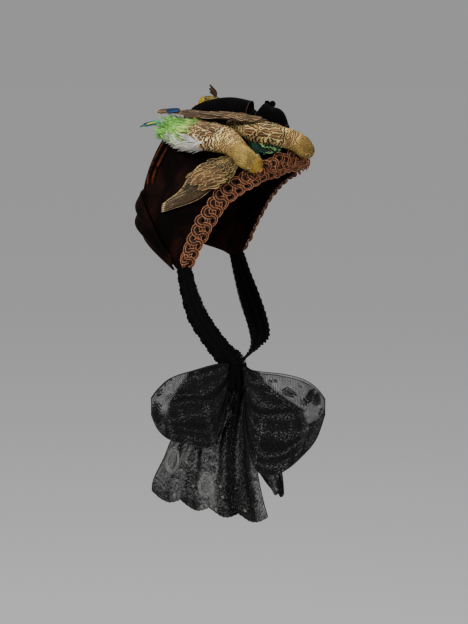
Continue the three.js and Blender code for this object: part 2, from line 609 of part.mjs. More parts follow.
// The loop's ribbon goes out along its front layer, turns at the tip and comes back along the layer behind.
function laceLoop(rows) {
  const face = (along, down) => {
    const out = 1 - Math.abs(2 * along - 1);
    const layer = along < 0.5 ? -1 : 1;
    const at = (key) => column(rows, key, out);
    const fold = LACE_LOOP.fold * Math.sin(2 * Math.PI * LACE_LOOP.folds * down + layer) * Math.sin(Math.PI * out);
    const depth = out > 0.999 ? 0 : (layer * at("apart")) / 2;
    return vec(LACE_LOOP.middle + depth + fold, at("y"), mix(at("top"), at("low"), down));
  };
  const facing = rows[0].y < rows[rows.length - 1].y ? face : (along, down) => face(1 - along, down);
  return wallOf(facing, 2 * LACE_LOOP.steps, LACE_LOOP.down, LACE_WALL);
}

// The two ends fall behind the loops. A row is the height at its rear and its front edge, both edges along Y,
// and the depth of the folds. The hem is scalloped.
const WIDE_END = [
  { rearZ: -243, frontZ: -243, rear: -18, front: -29, fold: 0.5 },
  { rearZ: -262, frontZ: -262, rear: 10, front: -33, fold: 1.5 },
  { rearZ: -290, frontZ: -295, rear: 44, front: -38, fold: 1.8 },
  { rearZ: -318, frontZ: -325, rear: 58, front: -42, fold: 1.8 },
  { rearZ: -340, frontZ: -352, rear: 69, front: -48, fold: 1.2 },
  { rearZ: -352, frontZ: -369, rear: 71, front: -53, fold: 0.8 },
];
const NARROW_END = [
  { rearZ: -250, frontZ: -250, rear: -26, front: -34, fold: 0.4 },
  { rearZ: -282, frontZ: -282, rear: -30, front: -60, fold: 1 },
  { rearZ: -312, frontZ: -312, rear: -36, front: -65, fold: 1.2 },
  { rearZ: -332, frontZ: -332, rear: -48, front: -68, fold: 0.8 },
  { rearZ: -342, frontZ: -345, rear: -57, front: -69, fold: 0.4 },
];
const LACE_END = { wideX: -53.8, narrowX: -51.4, folds: 3, steps: 8, across: 12, scallop: 5, scallops: 4 };

function laceEnd(rows, x) {
  const face = (down, over) => {
    const at = (key) => column(rows, key, down);
    const fold = at("fold") * Math.sin(2 * Math.PI * LACE_END.folds * over);
    const hem = LACE_END.scallop * down ** 4 * Math.abs(Math.sin(Math.PI * LACE_END.scallops * over));
    const height = mix(at("rearZ"), at("frontZ"), Math.sin((Math.PI / 2) * over));
    return vec(x + fold, mix(at("rear"), at("front"), over), height - hem);
  };
  return wallOf(face, LACE_END.steps, LACE_END.across, LACE_WALL);
}

function chinKnot() {
  const ball = new THREE.SphereGeometry(1, 10, 6);
  ball.scale(CHIN_KNOT.halfX, CHIN_KNOT.halfY, CHIN_KNOT.halfZ);
  return ball.translate(CHIN_KNOT.x, CHIN_KNOT.y, CHIN_KNOT.z);
}

addPiece("crown", crown(), velvet);
addPiece("rear_panel", rearPanel(), velvet);
addPiece("rear_piping", piping(PIPING.rows.rear), velvet);
addPiece("front_piping", piping(PIPING.rows.front), velvet);
addPiece("nape_drape", drape(), velvet);
addPiece("face_braid", faceBraid(), braidCord);
addPiece("bow_loop_rear", ribbonArch(REAR_LOOP), blackVelvet);
addPiece("bow_loop_front", ribbonArch(FRONT_LOOP), blackVelvet);
addPiece("bow_fall_front", ribbonArch(FRONT_FALL), blackVelvet);
addPiece("bow_knot", bowKnot(), blackVelvet);
const flock = { near_bird: NEAR_BIRD, middle_bird: MIDDLE_BIRD, far_bird: FAR_BIRD };
for (const [name, spine] of Object.entries(flock)) {
  addPiece(`${name}_body`, birdBody(spine), plumage);
  addPiece(`${name}_beak`, birdBeak(spine), horn);
  addPiece(`${name}_left_eye`, birdEye(spine, 1), glassEye);
  addPiece(`${name}_right_eye`, birdEye(spine, -1), glassEye);
}
addPiece("near_bird_wing", wing(NEAR_WING), wingFeather);
addPiece("middle_bird_near_wing", wing(MIDDLE_NEAR_WING), wingFeather);
addPiece("middle_bird_far_wing", wing(MIDDLE_FAR_WING), wingFeather);
addPiece("near_bird_tail", blade(NEAR_TAIL), tailFeather);
addPiece("middle_bird_tail", blade(MIDDLE_TAIL), tailFeather);
addPiece("far_bird_tail", blade(FAR_TAIL), wingFeather);
addPiece("far_bird_wing", blade(FAR_WING_RAISED), wingFeather);
addPiece("near_tie", tie(NEAR_TIE, TIE.steps), lace);
addPiece("far_tie", tie(FAR_TIE, TIE.steps + 4), lace);
addPiece("chin_knot", chinKnot(), lace);
addPiece("lace_loop_back", laceLoop(BACK_LOOP), lace);
addPiece("lace_loop_front", laceLoop(FRONT_LOOP_LACE), lace);
addPiece("lace_end_wide", laceEnd(WIDE_END, LACE_END.wideX), lace);
addPiece("lace_end_narrow", laceEnd(NARROW_END, LACE_END.narrowX), lace);

export default bonnet;
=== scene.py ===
import bpy, bmesh, math
import numpy as np
from mathutils import Matrix, Vector


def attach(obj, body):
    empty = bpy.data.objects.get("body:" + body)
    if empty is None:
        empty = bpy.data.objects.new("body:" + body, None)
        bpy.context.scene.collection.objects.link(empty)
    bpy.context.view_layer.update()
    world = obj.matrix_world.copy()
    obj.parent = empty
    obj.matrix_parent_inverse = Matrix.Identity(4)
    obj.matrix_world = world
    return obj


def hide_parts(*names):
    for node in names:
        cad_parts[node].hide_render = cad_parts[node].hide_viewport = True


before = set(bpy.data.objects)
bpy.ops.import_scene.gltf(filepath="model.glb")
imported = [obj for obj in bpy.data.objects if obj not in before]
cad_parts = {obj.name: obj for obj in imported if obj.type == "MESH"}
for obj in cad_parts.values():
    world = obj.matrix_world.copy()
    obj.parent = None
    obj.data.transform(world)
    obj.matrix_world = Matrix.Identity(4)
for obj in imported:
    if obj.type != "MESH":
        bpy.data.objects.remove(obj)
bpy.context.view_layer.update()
print("frame loaded,", len(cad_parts), "solids")

mm = 0.001
rng = np.random.default_rng(18)


# camera, set up for the photograph's view
cameraSettings = {"azimuth": -70, "elevation": 8, "distance": 2.0, "lookAt": (-0.02318, -0.00631, -0.17033),
    "lens": 115.4, "sensor": 36, "clip": (0.05, 60)}


def addCamera():
    s = cameraSettings
    az, el = math.radians(s["azimuth"]), math.radians(s["elevation"])
    back = Vector((math.sin(az) * math.cos(el), -math.cos(az) * math.cos(el), math.sin(el)))
    right = Vector((math.cos(az), math.sin(az), 0))
    turn = Matrix((right, back.cross(right), back)).transposed().to_4x4()
    data = bpy.data.cameras.new("camera")
    data.lens, data.sensor_width = s["lens"], s["sensor"]
    data.clip_start, data.clip_end = s["clip"]
    camera = bpy.data.objects.new("camera", data)
    camera.matrix_world = Matrix.Translation(Vector(s["lookAt"]) + s["distance"] * back) @ turn
    bpy.context.scene.collection.objects.link(camera)
    bpy.context.scene.camera = camera


addCamera()
print("camera set")


# shapes: every surface below is worked in millimetres, over numpy arrays

def mix(a, b, t):
    return a + (b - a) * t


def rowsOf(words, *rows):  # a table with a named column for each word
    return {key: np.array([row[i] for row in rows], float) for i, key in enumerate(words.split())}


def spline(before, a, b, after, t):  # smooth line from a to b
    slopeA, slopeB = (b - before) / 2, (after - a) / 2
    return (((2 * (a - b) + slopeA + slopeB) * t + 3 * (b - a) - 2 * slopeA - slopeB) * t + slopeA) * t + a


def column(values, at):  # read between the rows, 0 is the first row and 1 the last
    last = len(values) - 1
    place = np.clip(at, 0, 1) * last
    i = np.minimum(place.astype(int), last - 1)
    return spline(values[np.maximum(i - 1, 0)], values[i], values[i + 1], values[np.minimum(i + 2, last)], place - i)


def tablesOf(words, **tables):
    return {name: rowsOf(words, *rows) for name, rows in tables.items()}


def readRows(rows, at):
    return {key: column(values, at) for key, values in rows.items()}


def stack(x, y, z):
    return np.stack(np.broadcast_arrays(x, y, z), -1).astype(float)


def unit(v):
    return v / np.maximum(np.linalg.norm(v, axis=-1, keepdims=True), 1e-9)


def pathLength(points):
    return np.linalg.norm(np.diff(points, axis=0), axis=1).sum()


def smoothPath(points, count):  # centripetal curve through the points, read at even lengths
    p = np.array(points, float)
    p = np.vstack([2 * p[0] - p[1], p, 2 * p[-1] - p[-2]])
    at = np.linspace(0, len(p) - 3 - 1e-9, 2400)
    i = at.astype(int)
    t = (at - i)[:, None]
    p0, p1, p2, p3 = p[i], p[i + 1], p[i + 2], p[i + 3]
    d0, d1, d2 = (np.linalg.norm(b - a, axis=1)[:, None] ** 0.5 for a, b in ((p0, p1), (p1, p2), (p2, p3)))
    t1 = ((p1 - p0) / d0 - (p2 - p0) / (d0 + d1) + (p2 - p1) / d1) * d1
    t2 = ((p2 - p1) / d1 - (p3 - p1) / (d1 + d2) + (p3 - p2) / d2) * d1
    line = ((2 * (p1 - p2) + t1 + t2) * t + 3 * (p2 - p1) - 2 * t1 - t2) * t * t + t1 * t + p1
    length = np.concatenate([[0], np.cumsum(np.linalg.norm(np.diff(line, axis=0), axis=1))])
    even = np.linspace(0, length[-1], count)
    return np.stack([np.interp(even, length, line[:, k]) for k in range(3)], 1)


def wander(at, seed, size=1):  # smooth random line through points a size apart
    values = np.random.default_rng(seed).uniform(-1, 1, 4096)
    place = np.asarray(at) / size + 100
    i = np.floor(place).astype(int)
    t = place - i
    t = t * t * (3 - 2 * t)
    return mix(values[i % 4096], values[(i + 1) % 4096], t)


# nodes and materials

def linear(r, g, b):
    return tuple((c / 255 / 12.92 if c <= 10.3 else ((c / 255 + 0.055) / 1.055) ** 2.4) for c in (r, g, b)) + (1.0,)


def feed(tree, socket, value):  # a link, or a number of the socket's own
    if hasattr(value, "is_output"):
        tree.links.new(value, socket)
    else:
        socket.default_value = value


def feedAll(tree, made, inputs):
    for key, value in inputs.items():
        feed(tree, made.inputs[key.replace("_", " ")], value)
    return made


def addNode(tree, kind, **inputs):
    return feedAll(tree, tree.nodes.new("ShaderNode" + kind), inputs)


def calc(tree, operation, *values, clamp=False):
    made = tree.nodes.new("ShaderNodeMath")
    made.operation, made.use_clamp = operation, clamp
    for socket, value in zip(made.inputs, values):
        feed(tree, socket, value)
    return made.outputs[0]


def blend(tree, factor, a, b, way="MIX"):
    made = tree.nodes.new("ShaderNodeMix")
    made.data_type, made.blend_type = "RGBA", way
    for index, value in ((0, factor), (6, a), (7, b)):  # the factor and the two colours
        feed(tree, made.inputs[index], value)
    return made.outputs[2]


def between(tree, value, low, high):  # 0 below low, 1 above high
    made = addNode(tree, "MapRange", Value=value, From_Min=low, From_Max=high)
    made.interpolation_type = "SMOOTHSTEP"
    return made.outputs[0]


def noiseOn(tree, where=None, **inputs):  # a pattern that stays with the piece
    if where is None:
        where = addNode(tree, "TexCoord").outputs["Object"]
    return addNode(tree, "TexNoise", Vector=where, **inputs).outputs[0]


def readUv(tree, name):
    made = tree.nodes.new("ShaderNodeUVMap")
    made.uv_map = name
    return made.outputs[0]


def readTint(tree, name, output="Color"):
    made = tree.nodes.new("ShaderNodeAttribute")
    made.attribute_name = name
    return made.outputs[output]


def newGroup(name, inputs, outputs):  # an input without a number is a vector
    group = bpy.data.node_groups.new(name, "ShaderNodeTree")
    for key, value in inputs.items():
        kind = "NodeSocketVector" if value is None else "NodeSocketFloat"
        socket = group.interface.new_socket(key, in_out="INPUT", socket_type=kind)
        if value is not None:
            socket.default_value = value
    for key in outputs:
        group.interface.new_socket(key, in_out="OUTPUT", socket_type="NodeSocketFloat")
    return group, group.nodes.new("NodeGroupInput").outputs, group.nodes.new("NodeGroupOutput").inputs


def placeGroup(tree, group, **inputs):
    made = tree.nodes.new("ShaderNodeGroup")
    made.node_tree = group
    return feedAll(tree, made, inputs).outputs


def newMaterial(name, **settings):
    material = bpy.data.materials.new(name)
    material.use_nodes = True
    tree = material.node_tree
    return material, tree, feedAll(tree, tree.nodes["Principled BSDF"], settings)


def finishWith(tree, shader, colour, height, distance, strength=1.0):
    tree.links.new(colour, shader.inputs["Base Color"])
    if distance:
        bump = addNode(tree, "Bump", Height=height, Strength=strength, Distance=distance)
        tree.links.new(bump.outputs[0], shader.inputs["Normal"])


def makePileGroup():  # crushed patches and fine grain of a velvet pile
    group, given, out = newGroup("pile", {"Vector": None, "Patch": 40.0, "Grain": 1500.0}, ("Crush", "Height"))
    where = given["Vector"]
    patches = noiseOn(group, where, Scale=given["Patch"], Detail=4.0, Roughness=0.6, Distortion=0.6)
    grain = noiseOn(group, where, Scale=given["Grain"], Detail=2.0, Roughness=0.7)
    crush = between(group, patches, 0.38, 0.7)
    group.links.new(crush, out["Crush"])
    group.links.new(calc(group, "MULTIPLY_ADD", crush, 0.5, grain), out["Height"])
    return group


def makeBarbGroup():  # a feather: its edge, shaft, dark bar and the fine slanted barbs
    sockets = {"Leaf": None, "Edge Width": 0.3, "Barbs": 30.0, "Bar Place": 0.81}
    group, given, out = newGroup("barbs", sockets, ("Edge", "Shaft", "Bar", "Barb"))
    parts = addNode(group, "SeparateXYZ", Vector=given["Leaf"])
    across = calc(group, "ABSOLUTE", calc(group, "MULTIPLY_ADD", parts.outputs[0], 2.0, -1.0))
    along = parts.outputs[1]
    rim = calc(group, "MAXIMUM", across, calc(group, "MULTIPLY_ADD", along, 3.0, -2.0))
    start = calc(group, "SUBTRACT", 1.0, given["Edge Width"])
    group.links.new(between(group, rim, start, calc(group, "MULTIPLY_ADD", start, 0.6, 0.4)), out["Edge"])
    curve = calc(group, "MULTIPLY_ADD", calc(group, "MULTIPLY", across, across), 0.2, along)
    off = calc(group, "ABSOLUTE", calc(group, "SUBTRACT", curve, given["Bar Place"]))
    group.links.new(calc(group, "MULTIPLY_ADD", off, -15.0, 2.3, clamp=True), out["Bar"])
    group.links.new(calc(group, "LESS_THAN", across, 0.07), out["Shaft"])
    lean = calc(group, "SUBTRACT", along, calc(group, "MULTIPLY", across, 0.22))
    group.links.new(calc(group, "PINGPONG", calc(group, "MULTIPLY", lean, given["Barbs"]), 0.5), out["Barb"])
    return group


def makeNetGroup():  # lace ground: a net of hexagons on a map in millimetres
    group, given, out = newGroup("net", {"Map": None, "Cell": 0.6, "Thread": 0.16}, ("Solid", "Height"))
    cells = group.nodes.new("ShaderNodeTexVoronoi")
    cells.feature, cells.voronoi_dimensions = "DISTANCE_TO_EDGE", "2D"
    feedAll(group, cells, {"Vector": given["Map"], "Scale": given["Cell"], "Randomness": 0.45})
    group.links.new(calc(group, "LESS_THAN", cells.outputs[0], given["Thread"]), out["Solid"])
    group.links.new(calc(group, "SUBTRACT", given["Thread"], cells.outputs[0], clamp=True), out["Height"])
    return group


def makeTwistGroup():  # the turns of a twisted cord, on a map of turns round and millimetres along
    group, given, out = newGroup("twist", {"Map": None, "Turns": 0.7}, ("Groove",))
    parts = addNode(group, "SeparateXYZ", Vector=given["Map"])
    along = calc(group, "MULTIPLY", parts.outputs[1], given["Turns"])
    turn = calc(group, "ADD", calc(group, "MULTIPLY", parts.outputs[0], 2.0), along)
    group.links.new(calc(group, "PINGPONG", turn, 0.5), out["Groove"])
    return group


pileGroup, barbGroup, netGroup, twistGroup = makePileGroup(), makeBarbGroup(), makeNetGroup(), makeTwistGroup()


def velvetMaterial(name, deep, crushed, sheenTint, sheen, patch):
    material, tree, shader = newMaterial(name, Roughness=0.85, Sheen_Weight=sheen, Sheen_Roughness=0.35,
        Sheen_Tint=linear(*sheenTint), Specular_IOR_Level=0.05)
    where = addNode(tree, "TexCoord").outputs["Object"]
    pile = placeGroup(tree, pileGroup, Vector=where, Patch=patch, Grain=1500.0)
    tone = blend(tree, pile["Crush"], linear(*deep), linear(*crushed))
    finishWith(tree, shader, tone, pile["Height"], 0.00035)
    return material


brownVelvet = velvetMaterial("brownVelvet", (7, 4, 3), (34, 17, 12), (170, 84, 54), 0.07, 34.0)
pipingVelvet = velvetMaterial("pipingVelvet", (26, 11, 7), (108, 52, 31), (230, 130, 84), 0.2, 90.0)
blackPile = velvetMaterial("blackPile", (3, 3, 3), (8, 8, 7), (120, 118, 112), 0.008, 45.0)


def cordMaterial(name, dark, light):
    material, tree, shader = newMaterial(name, Roughness=0.45, Specular_IOR_Level=0.3)
    groove = placeGroup(tree, twistGroup, Map=readUv(tree, "Cord"))["Groove"]
    worn = calc(tree, "MULTIPLY_ADD", noiseOn(tree, Scale=520.0, Detail=3.0), 1.1, -0.38)
    # painted shade and painted highlight: the twist's grooves take the dark colour and its crests the light one, with
    # random darker bits from worn
    shade = calc(tree, "MULTIPLY_ADD", groove, 1.2, worn, clamp=True)
    finishWith(tree, shader, blend(tree, shade, linear(*dark), linear(*light)), groove, 0.0004)
    return material


braidSilk = cordMaterial("braidSilk", (64, 28, 17), (252, 166, 114))
braidShade = cordMaterial("braidShade", (6, 3, 3), (66, 38, 27))
ribbonEdge = cordMaterial("ribbonEdge", (20, 14, 11), (84, 62, 46))
laceCord = cordMaterial("laceCord", (5, 5, 5), (24, 24, 24))
paleCord = cordMaterial("paleCord", (92, 90, 85), (190, 186, 176))


def featherMaterial(name, edgeWidth, barbs, roughness, barred=False):
    material, tree, shader = newMaterial(name, Roughness=roughness, Specular_IOR_Level=0.14)
    feather = placeGroup(tree, barbGroup, Leaf=readUv(tree, "Leaf"), Edge_Width=edgeWidth, Barbs=barbs)
    centre, edge = readTint(tree, "centreTint"), readTint(tree, "edgeTint")
    mask = calc(tree, "SUBTRACT", 1.0, feather["Bar"]) if barred else feather["Edge"]
    shaft = calc(tree, "MULTIPLY", feather["Shaft"], 0.35)
    tone = blend(tree, shaft, blend(tree, mask, centre, edge), edge)
    patch = between(tree, noiseOn(tree, Scale=110.0, Detail=2.0), 0.3, 0.7)
    shade = calc(tree, "MULTIPLY_ADD", feather["Barb"], 0.5, calc(tree, "MULTIPLY_ADD", patch, 0.5, 0.46))
    grey = addNode(tree, "CombineXYZ", X=shade, Y=shade, Z=shade).outputs[0]
    finishWith(tree, shader, blend(tree, 1.0, tone, grey, "MULTIPLY"), feather["Barb"], 0.0002, 0.7)
    return material


featherFinishes = {  # edge width, barbs, roughness
    "downFeather": (0.6, 6.0, 0.75), "barFeather": (0.42, 7.0, 0.7, True), "scaleFeather": (0.2, 14.0, 0.62),
    "quillFeather": (0.24, 60.0, 0.5), "fringeFeather": (0.7, 10.0, 0.7)}
feathers = {name: featherMaterial(name, *values) for name, values in featherFinishes.items()}


def skinMaterial(name, tint=None):  # down and skin under the feathers
    material, tree, shader = newMaterial(name, Roughness=0.9, Specular_IOR_Level=0.2)
    spots = noiseOn(tree, Scale=420.0, Detail=4.0, Roughness=0.65)
    colour = tint or readTint(tree, "downTint")
    shaded = blend(tree, 1.0, colour, (0.45, 0.42, 0.4, 1), "MULTIPLY")
    finishWith(tree, shader, blend(tree, between(tree, spots, 0.3, 0.7), shaded, colour), spots, 0.0006)
    return material


def grainMaterial(name, dark, light, scale, detail, bump, **settings):
    material, tree, shader = newMaterial(name, **settings)
    grain = noiseOn(tree, Scale=scale, Detail=detail)
    finishWith(tree, shader, blend(tree, grain, linear(*dark), linear(*light)), grain, bump)
    return material


birdSkin, wingSkin = skinMaterial("birdSkin"), skinMaterial("wingSkin", linear(84, 66, 48))
eyeSkin = grainMaterial("eyeSkin", (196, 150, 40), (236, 206, 110), 900.0, 2.0, 0.0003, Roughness=0.5)
beakHorn = grainMaterial("beakHorn", (196, 104, 40), (226, 170, 92), 380.0, 3.0, 0.0002,
    Roughness=0.35, Coat_Weight=0.2, Subsurface_Weight=0.1, Subsurface_Scale=0.002)
glassBead = grainMaterial("glassBead", (6, 5, 4), (30, 18, 10), 700.0, 2.0, 0,
    Roughness=0.06, Coat_Weight=1.0, Coat_Roughness=0.03)
knotSilk = grainMaterial("knotSilk", (2, 2, 2), (14, 14, 15), 900.0, 3.0, 0.0005,
    Roughness=0.9, Specular_IOR_Level=0.05)


def laceMaterial(name, dark, light, reach=0.39):  # the cloth's own closeness sets how wide the threads are; where it is thin, light specks are painted on the threads as painted glints
    material, tree, shader = newMaterial(name, Roughness=0.75, Specular_IOR_Level=0.12)
    where, closeness = readUv(tree, "Weave"), readTint(tree, "closeness", "Fac")
    uneven = noiseOn(tree, where, Scale=0.34, Detail=3.0, Roughness=0.65)
    spread = calc(tree, "MULTIPLY", calc(tree, "MULTIPLY_ADD", uneven, 1.3, -0.65), closeness)
    close = calc(tree, "ADD", closeness, spread, clamp=True)
    net = placeGroup(tree, netGroup, Map=where, Cell=0.95, Thread=calc(tree, "MULTIPLY_ADD", close, reach, 0.05))
    tree.links.new(net["Solid"], shader.inputs["Alpha"])
    # painted glints: specks of the light colour on the threads, more where the net is thin
    glint = noiseOn(tree, where, Scale=0.8, Detail=3.0, Roughness=0.7)
    thin = calc(tree, "MULTIPLY_ADD", closeness, -4.5, 4.6, clamp=True)
    paintedGlint = calc(tree, "MULTIPLY", between(tree, glint, 0.5, 0.68), thin)
    finishWith(tree, shader, blend(tree, paintedGlint, linear(*dark), linear(*light)), net["Height"], 0.0004)
    return material


tieLace = laceMaterial("tieLace", (1, 1, 1), (11, 11, 12), 0.62)
netLace = laceMaterial("netLace", (11, 11, 11), (124, 125, 124))
endLace = laceMaterial("endLace", (9, 9, 9), (84, 84, 81))


def motifMaterial():  # flowers and leaves worked on the net
    material, tree, shader = newMaterial("motifSilk", Roughness=0.65, Specular_IOR_Level=0.2)
    leaf = placeGroup(tree, barbGroup, Leaf=readUv(tree, "Leaf"), Edge_Width=0.3, Barbs=9.0)
    tone = blend(tree, leaf["Edge"], readTint(tree, "centreTint"), readTint(tree, "edgeTint"))
    finishWith(tree, shader, tone, leaf["Barb"], 0.0003)
    return material


motifSilk = motifMaterial()
print("materials made")


# pieces
weldReach = 2e-6  # metres


def addPiece(name, mesh, material, nodes=()):
    mesh.name = name
    piece = bpy.data.objects.new(name, mesh)
    bpy.context.scene.collection.objects.link(piece)
    mesh.materials.append(material)
    mesh.shade_smooth()
    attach(piece, "root")
    if nodes:
        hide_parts(*nodes)
    return piece


def addSheet(piece, flat, held, restsOn, **more):
    cloth = sum(face.area for face in piece.data.polygons)
    cut = more.get("area", flat[0] * flat[1])
    print("  %s: %.1f square cm of cloth, cut to %.1f" % (piece.name, cloth * 1e4, cut * 1e4))


def toMesh(bm):
    mesh = bpy.data.meshes.new("piece")
    bm.to_mesh(mesh)
    bm.free()
    return mesh


def scaleUv(mesh, layer, scale):  # one pair for the whole map, or one for each corner
    places = mesh.uv_layers[layer].uv
    uv = np.zeros(len(places) * 2)
    places.foreach_get("vector", uv)
    places.foreach_set("vector", (uv.reshape(-1, 2) * scale).ravel())


def unitGrid(bm, stepsU, stepsV):  # new grid vertices of a bmesh with u and v from 0 to 1
    made = bmesh.ops.create_grid(bm, x_segments=stepsU, y_segments=stepsV, size=0.5, calc_uvs=True)["verts"]
    co = np.array([v.co[:2] for v in made])
    low, high = co.min(0), co.max(0)
    return made, *((co - low) / (high - low)).T


def gridMesh(surface, steps, size, weld=False, density=None):  # size: the cloth's own length and width in mm
    bm = bmesh.new()
    bm.loops.layers.uv.new("Weave")
    made, u, v = unitGrid(bm, *steps)
    for vert, place in zip(made, surface(u, v) * mm):
        vert.co = place
    if weld:
        bmesh.ops.remove_doubles(bm, verts=bm.verts, dist=weldReach)
    mesh = toMesh(bm)
    if density:
        mesh.attributes.new("closeness", "FLOAT", "POINT").data.foreach_set("value", density(u, v))
    scaleUv(mesh, "Weave", size)
    return mesh


def addCloth(name, surface, steps, size, material, node, wall, density=None):  # the wall goes inwards
    piece = addPiece(name, gridMesh(surface, steps, size, density=density), material, [node])
    solid = piece.modifiers.new("wall", "SOLIDIFY")
    solid.thickness, solid.offset = wall * mm, -1
    return piece


def cordMesh(paths, radius, sides=6, closed=False):  # round cords along rows of points, joined up or with drawn-in ends
    bm = bmesh.new()
    bm.loops.layers.uv.new("Cord")
    lengths = []
    for path in paths:
        path = np.asarray(path, float)
        forward = unit(np.gradient(path, axis=0))
        if closed:
            forward[0] = forward[-1] = unit(path[1] - path[-2])
        side = np.zeros_like(path)
        side[0] = unit(np.cross(forward[0], (0.3, 0.5, 0.8)))
        for i in range(1, len(path)):
            side[i] = side[i - 1] - forward[i] * np.dot(side[i - 1], forward[i])
        side = unit(side)
        up = np.cross(side, forward)
        if closed:  # the turn left over at the join is spread along the cord
            slack = math.atan2(np.dot(side[0], up[-1]), np.dot(side[0], side[-1]))
            share = np.linspace(0, slack, len(path))[:, None]
            side, up = side * np.cos(share) + up * np.sin(share), up * np.cos(share) - side * np.sin(share)
        caps = 0 if closed else 2
        rows = np.concatenate([[0] * caps, np.arange(len(path)), [len(path) - 1] * caps]).astype(int)
        swell = np.concatenate([[0, 0.75][:caps], np.ones(len(path)), [0.75, 0][:caps]])
        push = np.concatenate([[-0.7, -0.4][:caps], np.zeros(len(path)), [0.4, 0.7][:caps]]) * radius
        made, u, v = unitGrid(bm, sides, len(rows) - 1)
        k = np.rint(v * (len(rows) - 1)).astype(int)
        i, turn = rows[k], -2 * np.pi * u
        ring = side[i] * np.cos(turn)[:, None] + up[i] * np.sin(turn)[:, None]
        places = path[i] + ring * (radius * swell[k])[:, None] + forward[i] * push[k][:, None]
        for vert, place in zip(made, places * mm):
            vert.co = place
        lengths += [pathLength(path)] * (sides * (len(rows) - 1) * 4)
    bmesh.ops.remove_doubles(bm, verts=bm.verts, dist=weldReach)
    mesh = toMesh(bm)
    corners = len(mesh.loops)
    along = np.array(lengths + [lengths[-1]] * corners)[:corners]
    scaleUv(mesh, "Cord", np.stack([np.ones(corners), along], 1))
    return mesh


def leafTemplate(across, along):
    bm = bmesh.new()
    made, u, v = unitGrid(bm, across, along)
    bm.verts.index_update()
    faces = np.array([[vert.index for vert in face.verts] for face in bm.faces])
    bm.free()
    return {"u": 2 * u - 1, "v": v, "faces": faces}


def copiesMesh(template, places, centreTint, edgeTint):  # places: one row of vertices for each copy
    count, size = places.shape[:2]
    faces = (template["faces"][None] + (np.arange(count) * size)[:, None, None]).reshape(-1, 4)
    mesh = bpy.data.meshes.new("copies")
    mesh.vertices.add(count * size)
    mesh.vertices.foreach_set("co", (places * mm).ravel())
    mesh.loops.add(faces.size)
    mesh.loops.foreach_set("vertex_index", faces.ravel())
    mesh.polygons.add(len(faces))
    mesh.polygons.foreach_set("loop_start", np.arange(0, faces.size, 4))
    mesh.update(calc_edges=True)
    leaf = np.stack([template["u"] * 0.5 + 0.5, template["v"]], 1)[template["faces"].ravel()]
    mesh.uv_layers.new(name="Leaf").uv.foreach_set("vector", np.tile(leaf, (count, 1)).ravel())
    for key, tint in (("centreTint", centreTint), ("edgeTint", edgeTint)):
        tint = np.repeat(np.concatenate([tint, np.ones((count, 1))], 1), size, 0)
        mesh.color_attributes.new(key, "FLOAT_COLOR", "POINT").data.foreach_set("color", tint.ravel())
    return mesh


# crown
crownArches = rowsOf("topY topZ shoulderX shoulderY shoulderZ sideX sideY sideZ lowX lowY lowZ footX footY footZ",
    (-71, -26, 47, -52, -34, 67, -20, -56, 72.5, 3, -92, 73, 19, -123),
    (-65, -8, 46, -47, -14, 70, -5, -45, 75, 20, -84, 74.5, 27, -123),
    (-28, 2, 45, -16, -9, 69, 16, -43, 75, 36, -86, 74.5, 30, -123),
    (14, 6, 43, 24, -6, 62, 47, -43, 70, 56, -86, 74, 33, -123),
    (52, 14, 37, 60, 3, 51, 76, -42, 57, 75, -84, 73, 36, -123))
crownSettings = {"steps": (210, 84), "size": (430, 110), "wall": 2.6, "edge": 0.045, "clear": -0.3, "points": 800,
    "crease": {"height": 0.5, "at": 0.62, "lean": 0.18, "width": 0.02}, "ripple": 0.15}


def archLine(i):
    points = [[crownArches[place + axis][i] for axis in "XYZ"] for place in ("foot", "low", "side", "shoulder")]
    half, top = np.array(points), (0, crownArches["topY"][i], crownArches["topZ"][i])
    return smoothPath([*(half * (-1, 1, 1)), top, *half[::-1]], crownSettings["points"] + 1)


archLines = np.array([archLine(i) for i in range(5)])


def crownFace(across, back):  # across: near foot 0, far foot 1; back: face edge 0, rear edge 1
    across, back = np.broadcast_arrays(np.asarray(across, float), np.asarray(back, float))
    s = np.clip(across.ravel(), 0, 1) * crownSettings["points"]
    k = np.minimum(s.astype(int), crownSettings["points"] - 1)
    t = (s - k)[None, :, None]
    arches = archLines[:, k] * (1 - t) + archLines[:, k + 1] * t
    place = np.clip(back.ravel(), 0, 1) * 4
    i = np.minimum(place.astype(int), 3)
    m = np.arange(len(i))
    rows = (arches[np.clip(i + j, 0, 4), m] for j in (-1, 0, 1, 2))
    return spline(*rows, (place - i)[:, None]).reshape(across.shape + (3,))


def crownNormal(across, back, step=0.004):
    sideways = crownFace(np.minimum(across + step, 1), back) - crownFace(np.maximum(across - step, 0), back)
    backwards = crownFace(across, np.minimum(back + step, 1)) - crownFace(across, np.maximum(back - step, 0))
    return unit(np.cross(sideways, backwards))


def aboveCrown(across, back, height):
    return crownFace(across, back) + crownNormal(across, back) * np.asarray(height, float)[..., None]


def crownCloth(u, v):  # the velvet is laid on in shallow crosswise creases
    s, c, off = crownSettings, crownSettings["crease"], np.abs(u - 0.5)
    crease = np.exp(-((v - c["at"] - c["lean"] * off) / c["width"]) ** 2) * np.clip(off * 4 - 0.9, 0, 1)
    ripple = wander(u * 400 + v * 30, 3, 26) * s["ripple"] * np.sin(np.pi * v)
    return aboveCrown(u, mix(s["edge"], 1, v), s["clear"] + ripple + c["height"] * crease)


addCloth("crownVelvet", crownCloth, crownSettings["steps"], crownSettings["size"], brownVelvet, "crown",
    crownSettings["wall"])

rearPanelSettings = {"steps": (70, 70), "size": (110, 110), "wall": 2, "top": 0.44, "foot": 0.185, "bulge": 4,
    "clear": 0.5, "gathers": 14, "gather": 0.35}


